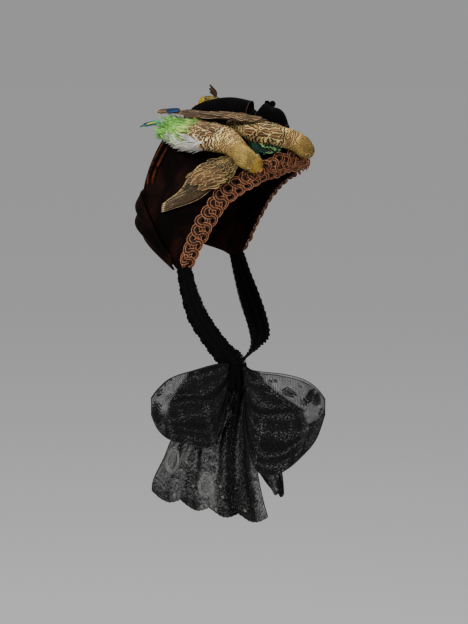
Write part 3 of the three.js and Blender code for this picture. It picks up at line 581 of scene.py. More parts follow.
def rearPanelFace(across, down):
    s = rearPanelSettings
    at = mix(s["top"], s["foot"], down)
    edge = crownFace(at, np.ones_like(at))
    edge = edge + unit(edge - crownFace(at, np.full_like(at, 0.96))) * (s["clear"] + s["wall"])
    side = mix(-1, 1, across)
    out = s["bulge"] * (1 - side * side) * np.sin(np.pi * (0.12 + down) / 1.9)
    gather = np.sin(np.pi * s["gathers"] * across + 2 * wander(down * 60, 9, 14))
    gather = s["gather"] * gather * np.sin(np.pi * np.clip(across, 0, 1))
    return stack(-edge[:, 0] * side, edge[:, 1] + out + gather, edge[:, 2] + 0.25 * out)


addCloth("rearPanelVelvet", rearPanelFace, rearPanelSettings["steps"], rearPanelSettings["size"], brownVelvet,
    "rear_panel", rearPanelSettings["wall"])

pipingSettings = {
    "rolls": {"rearPiping": (0.985, "rear_piping"), "frontPiping": (0.925, "front_piping")},
    "radius": 1.15, "clear": 1.6, "from": 0.262, "sink": 2.6, "fade": 0.03, "count": 150, "sides": 12}


def pipingPath(back):  # both ends sink into the crown
    s = pipingSettings
    across = np.linspace(s["from"], 1 - s["from"], s["count"])
    inside = np.clip(np.minimum(across - s["from"], 1 - s["from"] - across) / s["fade"], 0, 1)
    return aboveCrown(across, np.full_like(across, back), s["clear"] - s["sink"] * (1 - inside) ** 2)


for name, (back, node) in pipingSettings["rolls"].items():
    roll = cordMesh([pipingPath(back)], pipingSettings["radius"], pipingSettings["sides"])
    addPiece(name, roll, pipingVelvet, [node])

drapeSections = rowsOf("topX topY topZ hemX hemY hemZ swell fold",
    (0, 92, -49, 0, 81, -104, 9.5, 1.9), (27, 90, -50, 28, 77, -105, 10.5, 1.9), (54, 81.5, -55, 50, 66, -109, 11, 1.8),
    (70, 66, -73, 66, 54, -115, 8, 1.4), (78, 50, -96, 75, 43.5, -120, 3.5, 0.7),
    (79, 39, -110, 78.5, 37, -124, 1, 0.3))
drapeSettings = {"steps": (180, 60), "size": (250, 75), "flat": (0.25, 0.06), "wall": 2, "folds": 3, "droop": 0.25,
    "wander": 0.06}


def drapeFace(along, down):
    s, side = drapeSettings, mix(-1, 1, along)
    at = readRows(drapeSections, np.abs(side))
    mirror = np.where(side < 0, -1, 1)
    x, y = mirror * mix(at["topX"], at["hemX"], down), mix(at["topY"], at["hemY"], down)
    out = unit(stack(x, np.maximum(y, 20), 0))
    place = down - 0.12 + s["wander"] * wander(side * 100 + 300, 5, 38)
    ripple = at["fold"] * np.cos(2 * np.pi * s["folds"] * place)
    swell = at["swell"] * 4 * down * (1 - down) + ripple * np.sin(np.pi * np.minimum(down * 1.2, 1))
    z = mix(at["topZ"], at["hemZ"], down) - s["droop"] * at["swell"] * np.sin(np.pi * down)
    return stack(x, y, z) + out * swell[..., None]


drape = addCloth("napeDrape", drapeFace, drapeSettings["steps"], drapeSettings["size"], brownVelvet,
    "nape_drape", drapeSettings["wall"])
addSheet(drape, drapeSettings["flat"], "draped", ["crownVelvet"])
print("crown, panel, piping and drape made")


# braid: closed rings of cords in two rows, half a ring apart, that pass over and under each other
braidSettings = {  # pairs: at the sides, over the brow
    "pitch": (9.3, 7.2), "ring": (4.2, 3.1), "rows": ((6.0, 12.2, 9.2), (3.9, 9.2, 14.2)), "brow": (40, 96),
    "ends": 0.004, "height": 2.0, "weave": 1.3, "perRing": 28, "seed": 5, "points": 600, "margin": 0.6,
    "cords": {"faceBraidCords": ((2.0, -0.3), 0.42), "faceBraidFill": ((0.9, -1.4, -2.4), 0.55)},
    "over": ((0, 14, 50, 79, 101, 135, 166, 180, 270, 360), (1, 1, 0, -1, 1, 0, -1, -1, 0, 1))}
edgeAcross = np.linspace(braidSettings["ends"], 1 - braidSettings["ends"], braidSettings["points"])
edgeLine = crownFace(edgeAcross, np.zeros_like(edgeAcross))
edgeLengths = np.concatenate([[0], np.cumsum(np.linalg.norm(np.diff(edgeLine, axis=0), axis=1))])


def braidPlace(along, width, height):  # along the face edge, back from it, and above the crown
    across = np.interp(along, edgeLengths, edgeAcross)
    ahead = crownFace(across, np.full_like(across, 0.2)) - crownFace(across, np.zeros_like(across))
    reach = np.linalg.norm(ahead, axis=-1) / 0.2
    return aboveCrown(across, np.maximum(width / reach, 0), height) + np.minimum(width, 0)[..., None] * unit(ahead)


def braidRings(offsets):  # even rings at the sides, smaller and looser ones over the brow
    s, end = braidSettings, edgeLengths[-1]
    turn = np.linspace(0, 2 * np.pi, s["perRing"] + 1)
    weave = np.interp(np.degrees(turn) % 360, *s["over"])
    weave = (weave + np.roll(weave[:-1], 1)[np.arange(len(turn)) % s["perRing"]]) / 2
    places = np.random.default_rng(s["seed"])
    paths, centre = [], s["pitch"][0] / 2
    while centre < end - s["pitch"][0] / 2:
        brow = float(np.interp(abs(centre - end / 2), s["brow"], (1, 0)))
        pitch, size = mix(*s["pitch"], brow), mix(*s["ring"], brow)
        for row in range(3 if brow > 0.45 else 2):
            middle, flip = mix(s["rows"][0][row], s["rows"][1][row], brow), 1 if row != 1 else -1
            shift = places.uniform(-0.7, 0.7, 2) * (1 + 1.1 * brow)
            tilt, lean = places.uniform(-0.7, 0.7) * (1 + 2.4 * brow), places.uniform(0, 2 * np.pi)
            oval, turned = places.uniform(0, 0.1) * (1 + 2 * brow), places.uniform(0, np.pi)
            for offset in offsets:
                ring = (size + offset * (1 - 0.2 * brow)) * (1 + oval * np.cos(2 * (turn - turned)))
                height = s["height"] + 0.5 * brow + s["weave"] * weave + tilt * np.sin(turn + lean) + 0.1 * offset
                along = centre + 0.5 * pitch * (row % 2) + shift[0] + flip * ring * np.cos(turn)
                along = np.clip(along, s["margin"], end - s["margin"])
                width = middle + shift[1] + flip * ring * np.sin(turn)
                paths.append(braidPlace(along, width, np.maximum(height, 0.6)))
        centre += pitch
    return paths


for name, material, nodes in (("faceBraidCords", braidSilk, ["face_braid"]), ("faceBraidFill", braidShade, ())):
    offsets, radius = braidSettings["cords"][name]
    addPiece(name, cordMesh(braidRings(offsets), radius, 5, closed=True), material, nodes)
print("braid made")


# top bow
bowRows = tablesOf("y lean x ridge half foot",
    bowLoopRear=((47, 0, -6, 29, 4, 24), (40, 0, -3, 35, 8, 17), (24, 0, 0, 40.5, 13, 8), (5, -1, 0, 42.5, 14, 4.6),
        (-12, -4.5, 0, 39, 14, 3.4)),
    bowLoopFront=((-22, -1, -2, 28, 10, 3.6), (-27, -1, -2, 34, 12, 3), (-31, -1, -2, 37, 12, 2.5),
        (-38, -1, -3, 33, 11, 1.5)),
    bowFallFront=((-38.7, -1, -5, 33.5, 10, 11), (-46, -1, -6, 32, 10.5, 12), (-51.5, -1, -7, 27, 9.5, 12),
        (-55.5, -1, -7, 16, 8, 9.5)))
bowSettings = {"steps": (40, 64), "size": (40, 90), "wall": 1.1, "square": 0.75, "selvedge": 0.36, "points": 120,
    "edge": {"bowLoopRear": 1, "bowLoopFront": 0, "bowFallFront": 1},
    "nodes": {"bowLoopRear": "bow_loop_rear", "bowLoopFront": "bow_loop_front", "bowFallFront": "bow_fall_front"},
    "flat": {"bowLoopRear": (0.062, 0.085), "bowLoopFront": (0.018, 0.082), "bowFallFront": (0.024, 0.045)}}


def ribbonFace(rows, along, round):
    at, turn = readRows(rows, along), np.pi * (1 - round)
    square = lambda value: np.sign(value) * np.abs(value) ** bowSettings["square"]
    rise = (at["ridge"] - at["foot"]) * square(np.sin(turn))
    return stack(at["x"] + at["half"] * square(np.cos(turn)), at["y"] + at["lean"] * np.sin(turn), at["foot"] + rise)


for name, rows in bowRows.items():
    s, face = bowSettings, lambda u, v: ribbonFace(rows, u, v)
    ribbon = addCloth(name, face, s["steps"], s["size"], blackPile, s["nodes"][name], s["wall"])
    edge = face(np.full(s["points"], float(s["edge"][name])), np.linspace(0.02, 0.98, s["points"]))
    selvedge = addPiece(name + "Selvedge", cordMesh([edge], s["selvedge"]), ribbonEdge)
    addSheet(ribbon, s["flat"][name], "folded", ["crownVelvet"], with_pieces=[selvedge])

bowKnotSettings = {"steps": (60, 40), "size": (40, 30), "y": -16.4, "z": 24, "halfWidth": 12.1, "halfLength": 6.4,
    "halfHeight": 7.5, "folds": 5, "fold": 0.05}


def bowKnotFace(u, v):
    s = bowKnotSettings
    turn, tilt = 2 * np.pi * u, np.pi * (v - 0.5)
    swell = 1 + s["fold"] * np.sin(s["folds"] * turn)
    return stack(s["halfWidth"] * np.sin(tilt), s["y"] + s["halfLength"] * swell * np.cos(tilt) * np.cos(turn),
        s["z"] + s["halfHeight"] * swell * np.cos(tilt) * np.sin(turn))


knot = gridMesh(bowKnotFace, bowKnotSettings["steps"], bowKnotSettings["size"], weld=True)
addPiece("bowKnot", knot, blackPile, ["bow_knot"])
print("top bow made")


# birds
birdSpines = tablesOf("across back rise wide deep",
    near=((0.33, 0.185, 10, 4.5, 4), (0.328, 0.22, 11, 8, 7.5), (0.326, 0.28, 11.5, 9.8, 9.2),
        (0.336, 0.36, 11.5, 9.6, 9), (0.354, 0.46, 12, 11, 9.4), (0.371, 0.57, 13, 15, 11), (0.38, 0.69, 13, 17, 11),
        (0.388, 0.8, 12, 18, 9.6), (0.4, 0.89, 10, 15, 7.4), (0.408, 0.98, 8.5, 9, 4.5)),
    middle=((0.472, 0.166, 11, 5, 4.5), (0.466, 0.183, 12.5, 8.5, 8), (0.457, 0.21, 13.5, 9.8, 9.6),
        (0.446, 0.247, 13.5, 9.8, 9.5), (0.434, 0.29, 13, 10.5, 9.8), (0.42, 0.35, 14, 13, 11),
        (0.42, 0.43, 14.5, 13, 11.5), (0.432, 0.51, 14.5, 10.5, 10), (0.44, 0.58, 14.5, 7.5, 8),
        (0.445, 0.64, 14, 5, 5)),
    far=((0.55, 0.975, 25, 4, 4), (0.552, 0.94, 26.5, 7, 7), (0.556, 0.885, 27, 8.5, 8.5), (0.567, 0.83, 23, 9.5, 9),
        (0.58, 0.77, 16.5, 11, 10), (0.588, 0.7, 11.6, 13, 11), (0.59, 0.63, 11.4, 12, 10.5), (0.586, 0.57, 15, 9, 8),
        (0.578, 0.52, 19.5, 5.5, 5)))
birdSettings = {"frames": 241, "steps": (64, 120), "size": (60, 90), "skinLift": -0.5, "capLength": 3.4, "capShare": 0.05,
    "face": 0.13, "faceRound": 0.2, "faceDeep": 0.96, "headHalf": {"near": 8.6, "middle": 9, "far": 7.4}}


def spineFrames(name, spine):  # rows of place, forward, side, up, half width and half depth, from face to tail root
    s, at = birdSettings, np.linspace(0, 1, birdSettings["frames"])

    def place(share):
        here = readRows(spine, share)
        return aboveCrown(here["across"], here["back"], here["rise"])

    row, before = readRows(spine, at), s["face"] - at
    forward = unit(place(np.minimum(at + 0.02, 1)) - place(np.maximum(at - 0.02, 0)))
    side = unit(np.cross(crownNormal(row["across"], row["back"]), forward))
    up = unit(np.cross(forward, side))
    blunt = s["headHalf"][name] * np.sqrt(np.clip(1 - (before / s["faceRound"]) ** 2, 0, 1)) * (before > 0)
    wide, deep = np.maximum(row["wide"], blunt), np.maximum(row["deep"], blunt * s["faceDeep"])
    return np.concatenate([place(at), forward, side, up, wide[:, None], deep[:, None]], 1)


birdFrames = {name: spineFrames(name, spine) for name, spine in birdSpines.items()}
spineLengths = {name: pathLength(frames[:, :3]) for name, frames in birdFrames.items()}


def bodyPlace(name, at, turn, height):  # at: face 0, tail root 1; turn: flank 0, back a quarter turn, in radians
    s, frames = birdSettings, birdFrames[name]
    place = np.clip(at, 0, 1) * (len(frames) - 1)
    k = np.minimum(place.astype(int), len(frames) - 2)
    t = (place - k)[..., None]
    row = frames[k] * (1 - t) + frames[k + 1] * t
    middle, forward, side, up, wide, deep = np.split(row, (3, 6, 9, 12, 13), -1)
    ahead = np.where(at < 0, -1.0, 1.0)[..., None]
    beyond = np.clip(np.maximum(-at, at - 1) / s["capShare"], 0, 1)[..., None]
    shrink = np.sqrt(1 - beyond ** 2)
    cos, sin = np.cos(turn)[..., None], np.sin(turn)[..., None]
    out = unit(unit(side * cos * deep + up * sin * wide) * shrink + forward * ahead * beyond)
    push = forward * ahead * s["capLength"] * beyond
    return middle + push + (side * wide * cos + up * deep * sin) * shrink + out * height[..., None]


def skinTints(mesh, frames, bands):  # the down under the feathers, coloured along the spine
    co = np.zeros(len(mesh.vertices) * 3)
    mesh.vertices.foreach_get("co", co)
    stations = frames[::4, :3]
    nearest = np.argmin(np.linalg.norm(co.reshape(-1, 1, 3) / mm - stations[None], axis=2), 1) / (len(stations) - 1)
    places, stops = [place for place, tone in bands], np.array([linear(*tone) for place, tone in bands])
    tint = np.stack([np.interp(nearest, places, stops[:, k]) for k in range(4)], 1)
    mesh.color_attributes.new("downTint", "FLOAT_COLOR", "POINT").data.foreach_set("color", tint.ravel())


downBands = {
    "near": ((0, (150, 120, 60)), (0.36, (140, 112, 70)), (0.45, (116, 88, 58)), (0.72, (120, 94, 62)),
        (0.8, (130, 160, 104)), (1, (120, 170, 120))),
    "middle": ((0, (140, 112, 62)), (0.3, (136, 106, 66)), (0.4, (104, 76, 50)), (1, (84, 64, 46))),
    "far": ((0, (150, 124, 60)), (0.25, (90, 76, 46)), (1, (74, 66, 48)))}

for name in birdSpines:
    s, share = birdSettings, birdSettings["capShare"]
    face = lambda u, v: bodyPlace(name, mix(-share, 1 + share, v), 2 * np.pi * u, np.full_like(u, s["skinLift"]))
    mesh = gridMesh(face, s["steps"], s["size"], weld=True)
    skinTints(mesh, birdFrames[name], downBands[name])
    addPiece(name + "BirdSkin", mesh, birdSkin, [name + "_bird_body"])

# feathers
leafShapes = {"fine": leafTemplate(2, 4), "small": leafTemplate(4, 5), "strand": leafTemplate(2, 8),
    "long": leafTemplate(4, 16)}
usualFeather = {"blunt": 2.0, "bow": 0.0, "camber": 0.16}


def featherBlades(surface, plan, template):
    # each feather runs from (a0, b0) to (a1, b1) on surface(a, b, height), half mm wide on each side of its shaft
    u, v = template["u"][None], template["v"][None]
    col = {key: np.asarray(values, float)[:, None] for key, values in plan.items() if key not in ("centre", "edge")}
    col = {**usualFeather, **col}
    tipRound = np.sqrt(np.clip(1 - np.clip((v - 0.5) / 0.5, 0, 1) ** col["blunt"], 0, 1))
    outline = np.maximum(np.minimum((v / 0.3 + 0.05) ** 0.6, 1) * tipRound, 0.03)
    bow = col["bow"] * np.sin(np.pi * v)
    line = lambda at: (mix(col["a0"], col["a1"], at), mix(col["b0"], col["b1"], at) + bow)
    flat = np.zeros_like(line(v)[0])
    middle = surface(*line(v), flat)
    forward = unit(surface(*line(v + 0.03), flat) - middle)
    up = unit(surface(*line(v), flat + 1) - middle)
    side = unit(np.cross(forward, up))
    height = mix(col["lift"], col["tip"], v ** 1.4) - col["camber"] * col["half"] * (u * outline) ** 2
    return middle + side * (u * outline * col["half"])[..., None] + up * height[..., None]


def tints(count, colour, spread=0.12):
    base = np.array(linear(*colour)[:3])[None] * np.ones((count, 1))
    vary = 1 + rng.uniform(-spread, spread, (count, 1)) + rng.uniform(-spread, spread, (count, 3)) * 0.3
    return np.clip(base * vary, 0, 1)


def joinPlans(plans):
    return {key: np.concatenate([plan[key] for plan in plans]) for key in plans[0]}


def featherPiece(name, surface, plans, shape, material):
    plan, template = joinPlans(plans), leafShapes[shape]
    mesh = copiesMesh(template, featherBlades(surface, plan, template), plan["centre"], plan["edge"])
    return addPiece(name, mesh, material)


zoneWords = "from to rowGap gap length half tip centre edge"
usualZone = {"turns": (-0.8, np.pi + 0.8), "wander": 0.1, "blotch": 0.2, "ragged": 0.0, "lift": 0.0, "bow": 0.0,
    "spread": 0.14}


def zone(*values, **more):
    return {**usualZone, **dict(zip(zoneWords.split(), values)), **more}


def bodyRows(name, zone):  # staggered rows of feathers round the body, from the face to the tail
    z, frames, spine = zone, birdFrames[name], spineLengths[name]
    share = np.linspace(0, 1, len(frames))
    steps = max(int((z["to"] - z["from"]) * spine / z["rowGap"]), 1)
    plans = []
    for r in range(steps):
        at = mix(z["from"], z["to"], (r + 0.5) / steps)
        size = np.interp(at, share, frames[:, 12]) + np.interp(at, share, frames[:, 13])
        around = max(int(np.pi * size / z["gap"]), 6)
        turn = 2 * np.pi * (np.arange(around) + 0.5 * (r % 2)) / around + rng.uniform(-0.3, 0.3, around) / around
        turn = (turn + np.pi / 2) % (2 * np.pi) - np.pi / 2
        turn = turn[(turn > z["turns"][0]) & (turn < z["turns"][1])]
        n, ragged = len(turn), z["ragged"]
        blotch = 1 + z["blotch"] * (wander(at * 17 + turn * 0.7, 61) + wander(turn * 2.5 + at * 9, 67))[:, None]
        a0 = at + rng.uniform(-0.25, 0.25, n) * z["rowGap"] / spine
        length = z["length"] * rng.uniform(0.85 - 0.3 * ragged, 1.15 + 0.3 * ragged, n) / spine
        plans.append({
            "a0": a0, "b0": turn, "a1": a0 + length, "b1": turn + rng.uniform(-1, 1, n) * z["wander"],
            "half": z["half"] * rng.uniform(0.85, 1.15, n), "lift": np.full(n, z["lift"]),
            "tip": z["tip"] * rng.uniform(0.6 - 0.6 * ragged, 1.4 + 0.8 * ragged, n),
            "bow": rng.uniform(-1, 1, n) * z["bow"],
            "centre": np.clip(tints(n, z["centre"], z["spread"]) * blotch, 0, 1),
            "edge": np.clip(tints(n, z["edge"], z["spread"]) * blotch, 0, 1)})
    return joinPlans(plans)


plumage = {
    "nearHeadFeathers": ("near", "fine", "downFeather",
        zone(-0.03, 0.1, 1.3, 1.5, 3.4, 0.8, 0.4, (160, 112, 24), (232, 196, 96)),
        zone(0.08, 0.41, 1.5, 1.5, 4.0, 0.8, 0.4, (96, 72, 30), (196, 166, 92))),
    "nearMantleFeathers": ("near", "small", "barFeather",
        zone(0.37, 0.52, 1.7, 2.8, 4.6, 2.5, 0.5, (46, 28, 14), (228, 186, 118), wander=0.12, blotch=0.3),
        zone(0.5, 0.78, 2.5, 3.8, 6.4, 3.6, 0.7, (52, 30, 14), (244, 206, 146), wander=0.2, spread=0.3, blotch=0.34)),
    "nearRumpFeathers": ("near", "strand", "fringeFeather",
        zone(0.7, 0.86, 1.7, 1.4, 11, 0.75, 2.0, (92, 128, 40), (180, 206, 110), wander=0.4, bow=0.12, ragged=1,
            spread=0.25),
        zone(0.76, 1.0, 1.7, 1.3, 12, 0.75, 2.4, (48, 132, 36), (142, 208, 92), wander=0.45, bow=0.14, ragged=1,
            spread=0.35)),
    "nearScapulars": ("near", "small", "scaleFeather",
        zone(0.56, 0.73, 3.2, 4.6, 8.0, 3.2, 1.3, (88, 58, 33), (234, 202, 144), lift=0.3, wander=0.3, turns=(0.7, 2.7),
            spread=0.24, blotch=0.4)),
    "middleScapulars": ("middle", "small", "scaleFeather",
        zone(0.44, 0.98, 3.6, 5.0, 9.0, 3.3, 1.2, (90, 60, 34), (240, 208, 136), lift=0.3, wander=0.3,
            turns=(0.35, 2.5), spread=0.26, blotch=0.45)),
    "nearDown": ("near", "strand", "fringeFeather",
        zone(0.62, 0.86, 1.9, 1.3, 12, 0.7, 3.0, (196, 186, 170), (250, 246, 240), wander=0.6, bow=0.2, ragged=1,
            turns=(-0.9, 0.45), blotch=0.05)),
    "middleHeadFeathers": ("middle", "fine", "downFeather",
        zone(-0.03, 0.07, 1.3, 1.5, 3.4, 0.8, 0.4, (136, 102, 34), (212, 180, 92)),
        zone(0.05, 0.31, 1.5, 1.5, 4.0, 0.8, 0.4, (112, 84, 34), (196, 164, 94))),
    "middleMantleFeathers": ("middle", "small", "barFeather",
        zone(0.28, 0.42, 1.7, 2.8, 4.8, 2.5, 0.5, (44, 26, 12), (226, 184, 118), wander=0.1),
        zone(0.4, 0.98, 2.2, 4.4, 6.4, 3.9, 0.6, (46, 28, 14), (240, 198, 132), wander=0.16, spread=0.3)),
    "farHeadFeathers": ("far", "fine", "downFeather",
        zone(-0.03, 0.08, 1.4, 1.6, 3.8, 0.9, 0.4, (140, 110, 22), (220, 188, 60)),
        zone(0.07, 0.2, 1.4, 1.6, 4.0, 0.9, 0.5, (40, 34, 16), (128, 112, 48))),
    "farMantleFeathers": ("far", "small", "barFeather",
        zone(0.17, 0.98, 2.4, 3.8, 6.6, 3.4, 0.8, (34, 28, 16), (120, 108, 58), wander=0.2))}
strandEnd = 0.93


def strandPlace(name, at, turn, height):  # like the body, but loose strands run on straight behind it
    frames = birdFrames[name]
    forward = frames[int(strandEnd * (len(frames) - 1)), 3:6]
    past = 0.8 * spineLengths[name] * np.maximum(at - strandEnd, 0)
    return bodyPlace(name, np.minimum(at, strandEnd), turn, height) + forward * past[..., None]


for piece, (name, shape, finish, *zones) in plumage.items():
    surface = lambda a, b, h: (strandPlace if shape == "strand" else bodyPlace)(name, a, b, h)
    featherPiece(piece, surface, [bodyRows(name, part) for part in zones], shape, feathers[finish])
print("bodies feathered")

beakSettings = {"length": 6.2, "wide": 2.7, "deep": 3.2, "drop": 4.6, "low": 1.5, "start": 2.6, "steps": (20, 16),
    "size": (8, 8)}
eyeSettings = {"radius": 1.7, "at": 0.13, "turn": 0.42, "sunk": 0.9, "segments": (20, 12), "ring": 0.34, "ringLift": 0.55,
    "ringGap": 0.1}


def beakFace(name, u, v):
    s, (place, forward, side, up) = beakSettings, birdFrames[name][0, :12].reshape(4, 3)
    t = np.clip(v, 0.02, 1)[:, None]
    size = np.sqrt(np.maximum(1 - t ** 1.7, 0)) * np.where(v < 0.01, 0, 1)[:, None]
    middle = place - forward * (s["start"] + s["length"] * (t - 0.35 * t * t)) - up * (s["low"] + s["drop"] * t * t)
    turn = (-2 * np.pi * u)[:, None]
    return middle + side * s["wide"] * size * np.cos(turn) + up * s["deep"] * size * np.sin(turn)


def addEye(name, word, flank):
    s = eyeSettings
    row = birdFrames[name][int(round(s["at"] * (birdSettings["frames"] - 1)))]
    place, side, up, wide, deep = row[:3], row[6:9], row[9:12], row[12], row[13]
    out = side * flank * math.cos(s["turn"]) + up * math.sin(s["turn"])
    reach = math.hypot(wide * math.cos(s["turn"]), deep * math.sin(s["turn"]))
    centre = place + out * (reach + s["radius"] - s["sunk"])
    bm = bmesh.new()
    bmesh.ops.create_uvsphere(bm, u_segments=s["segments"][0], v_segments=s["segments"][1], radius=s["radius"] * mm)
    bmesh.ops.translate(bm, verts=bm.verts, vec=Vector(centre * mm))
    addPiece(name + word + "Eye", toMesh(bm), glassBead, [name + "_bird_" + word.lower() + "_eye"])
    turn = np.linspace(0, 2 * np.pi, 25)
    first = unit(np.cross(out, up + 0.3 * side))
    circle = first * np.cos(turn)[:, None] + np.cross(out, first) * np.sin(turn)[:, None]
    ring = place + out * (reach + s["ringLift"]) + circle * (s["radius"] + s["ringGap"])
    addPiece(name + word + "EyeRing", cordMesh([ring], s["ring"], 8, closed=True), eyeSkin)


for name in birdSpines:
    beak = gridMesh(lambda u, v: beakFace(name, u, v), beakSettings["steps"], beakSettings["size"], weld=True)
    addPiece(name + "Beak", beak, beakHorn, [name + "_bird_beak"])
    addEye(name, "Left", 1)
    addEye(name, "Right", -1)
print("beaks and eyes made")

# wings: rows give the leading and trailing edge as places on the crown, from the shoulder to the tip
wingRows = tablesOf("leadAcross leadBack trailAcross trailBack rise camber",
    nearWing=((0.305, 0.3, 0.325, 0.42, 5, 2), (0.265, 0.24, 0.318, 0.5, 4.5, 4), (0.235, 0.23, 0.3, 0.6, 4.5, 4),
        (0.205, 0.27, 0.275, 0.64, 4, 3), (0.182, 0.36, 0.24, 0.62, 3.5, 2), (0.17, 0.52, 0.212, 0.64, 3, 1.2),
        (0.162, 0.68, 0.186, 0.74, 3, 0.6)),
    middleNearWing=((0.398, 0.225, 0.408, 0.25, 5.5, 0.5), (0.378, 0.27, 0.398, 0.33, 4.5, 0.5),
        (0.368, 0.32, 0.394, 0.41, 4, 0.5), (0.372, 0.38, 0.392, 0.44, 3.5, 0.5)),
    middleFarWing=((0.408, 0.4, 0.432, 0.4, 26.4, 0.5), (0.405, 0.5, 0.436, 0.52, 25.8, 1),
        (0.41, 0.64, 0.442, 0.66, 26, 1.5), (0.415, 0.8, 0.445, 0.82, 23, 1.5), (0.42, 0.93, 0.446, 0.97, 20, 1)))
wingSettings = {  # web: how far the skin under the feathers runs along the wing, and its two sides
    "steps": (90, 40), "size": (40, 90), "wall": 1.2, "sunk": -0.6,
    "web": {"nearWing": (0.9, 0.12, 0.82), "middleNearWing": (0.62, 0, 1), "middleFarWing": (0.92, 0, 1)},
    "nodes": {"nearWing": "near_bird_wing", "middleNearWing": "middle_bird_near_wing",
        "middleFarWing": "middle_bird_far_wing"}}


def wingPlace(rows, along, over, height):
    at = readRows(rows, along)
    camber = at["camber"] * np.sin(np.pi * np.clip(over * 1.25, 0, 1))
    back = np.minimum(mix(at["leadBack"], at["trailBack"], over), 1)
    return aboveCrown(mix(at["leadAcross"], at["trailAcross"], over), back, at["rise"] + camber + height)


def wingReach(rows, along, over, height):  # feathers run on straight past the wing's tip
    inner = np.clip(along, 0, 1)
    step = wingPlace(rows, np.ones_like(inner), over, height) - wingPlace(rows, np.full_like(inner, 0.95), over, height)
    return wingPlace(rows, inner, over, height) + step * (np.maximum(along - 1, 0) / 0.05)[..., None]


def quills(count, start, finish, half, lift, centre, edge, bow=0.0):  # a fan of long feathers
    t = np.linspace(0, 1, count)
    line = lambda ends, k: mix(ends[0][k], ends[1][k], t)
    height = mix(*lift, t)
    return {"a0": line(start, 0), "b0": line(start, 1), "a1": line(finish, 0), "b1": line(finish, 1),
        "half": half * rng.uniform(0.92, 1.08, count), "lift": height - 0.2, "tip": height + rng.uniform(0, 0.3, count),
        "bow": np.full(count, bow), "centre": tints(count, centre, 0.1), "edge": tints(count, edge, 0.08)}


def coverts(far, near, slant, rows, count, across, reach, half, lift, loose, centre, edge):
    # staggered rows of short feathers over a patch of the wing
    plans = []
    draw = lambda size: rng.uniform(-size, size, count) * loose
    for r in range(rows):
        b = (np.arange(count) + 0.5 * (r % 2) + draw(0.25)) / count
        a0 = mix(far, near, (r + 0.5) / rows) + slant * (b - 0.5) + draw(0.025)
        b0 = mix(*across, b)
        plans.append({
            "a0": a0, "b0": b0, "a1": a0 + reach[0] * (1 + draw(0.22)), "b1": b0 + reach[1] + draw(0.08),
            "half": half * rng.uniform(0.8, 1.2, count), "lift": np.full(count, lift - 0.3),
            "tip": lift + rng.uniform(0.1, 0.5 + 0.9 * loose, count), "bow": np.zeros(count),
            "centre": tints(count, centre, 0.14 + 0.2 * loose), "edge": tints(count, edge, 0.1 + 0.1 * loose)})
    return joinPlans(plans)


# count, foot and tip (each of the first and the last feather), half width, lift, centre, edge, bow
wingFans = {
    "nearWing": (
        (5, ((0.42, 0.1), (0.38, 0.24)), ((1.02, 0.12), (0.97, 0.84)), 1.8, (0.2, 0.9), (50, 36, 25), (196, 166, 120)),
        (7, ((0.38, 0.26), (0.34, 0.4)), ((0.92, 0.9), (0.76, 0.9)), 2.0, (1.0, 1.7), (50, 38, 25), (188, 158, 110)),
        (6, ((0.32, 0.4), (0.22, 0.6)), ((0.7, 0.9), (0.54, 0.9)), 2.4, (1.7, 2.3), (52, 54, 34), (176, 158, 104)),
        (5, ((0.2, 0.55), (0.12, 0.75)), ((0.5, 0.88), (0.36, 0.95)), 2.8, (2.1, 2.6), (66, 46, 28), (196, 166, 114))),
    "middleNearWing": (
        (8, ((0.02, 0.1), (0.15, 0.9)), ((0.98, 0.1), (0.8, 1.0)), 2.0, (0.2, 1.8), (12, 34, 26), (84, 110, 70), 0.05),),
    "middleFarWing": (
        (7, ((0.35, 0.12), (0.15, 0.85)), ((1.24, 0.3), (0.98, 1.0)), 1.9, (0.2, 1.6), (48, 30, 20), (206, 172, 128)),)}
wingQuills = {name: [quills(*fan) for fan in fans] for name, fans in wingFans.items()}
wingCoverts = {
    "nearWing": ((0.44, 0.17, 0.15, 5, 6, (0.06, 0.78), (0.17, 0.14), 3.4, 2.5, 1, (98, 68, 40), (204, 176, 116)),
        (0.2, 0.0, 0.06, 8, 9, (0.0, 1.0), (0.085, 0.04), 2.1, 3.4, 0.6, (38, 25, 13), (208, 180, 112))),
    "middleNearWing": ((0.7, 0.0, 0.1, 5, 7, (0.0, 1.0), (0.24, 0.3), 1.8, 2.2, 1, (8, 24, 20), (48, 72, 48)),),
    "middleFarWing": ((0.62, 0.42, 0.05, 2, 3, (0.05, 1.0), (0.2, 0.05), 2.7, 1.9, 0.8, (58, 38, 24), (216, 182, 132)),
        (0.44, 0.04, 0.05, 6, 4, (0.0, 1.0), (0.12, 0.05), 2.8, 2.3, 0.8, (60, 38, 24), (216, 182, 124)))}

for name, rows in wingRows.items():
    s, slot = wingSettings, "flight_feathers"
    long, low, high = s["web"][name]
    face = lambda u, v: wingPlace(rows, u * long, mix(low, high, v), np.full_like(u, s["sunk"]))
    addCloth(name + "Web", face, s["steps"], s["size"], wingSkin, s["nodes"][name], s["wall"])
    surface = lambda a, b, h: wingReach(rows, a, np.clip(b, -0.08, 1.1), h)
    featherPiece(name + "Quills", surface, wingQuills[name], "long", feathers["quillFeather"])
    bands = [coverts(*band) for band in wingCoverts[name]]
    featherPiece(name + "Coverts", surface, bands, "small", feathers["scaleFeather"])

tuftSettings = {"count": 110, "half": 0.95, "lift": 0.4, "tip": (0.8, 6.0), "dark": ((6, 26, 24), (44, 84, 66)),
    "light": ((84, 148, 84), (170, 212, 138))}


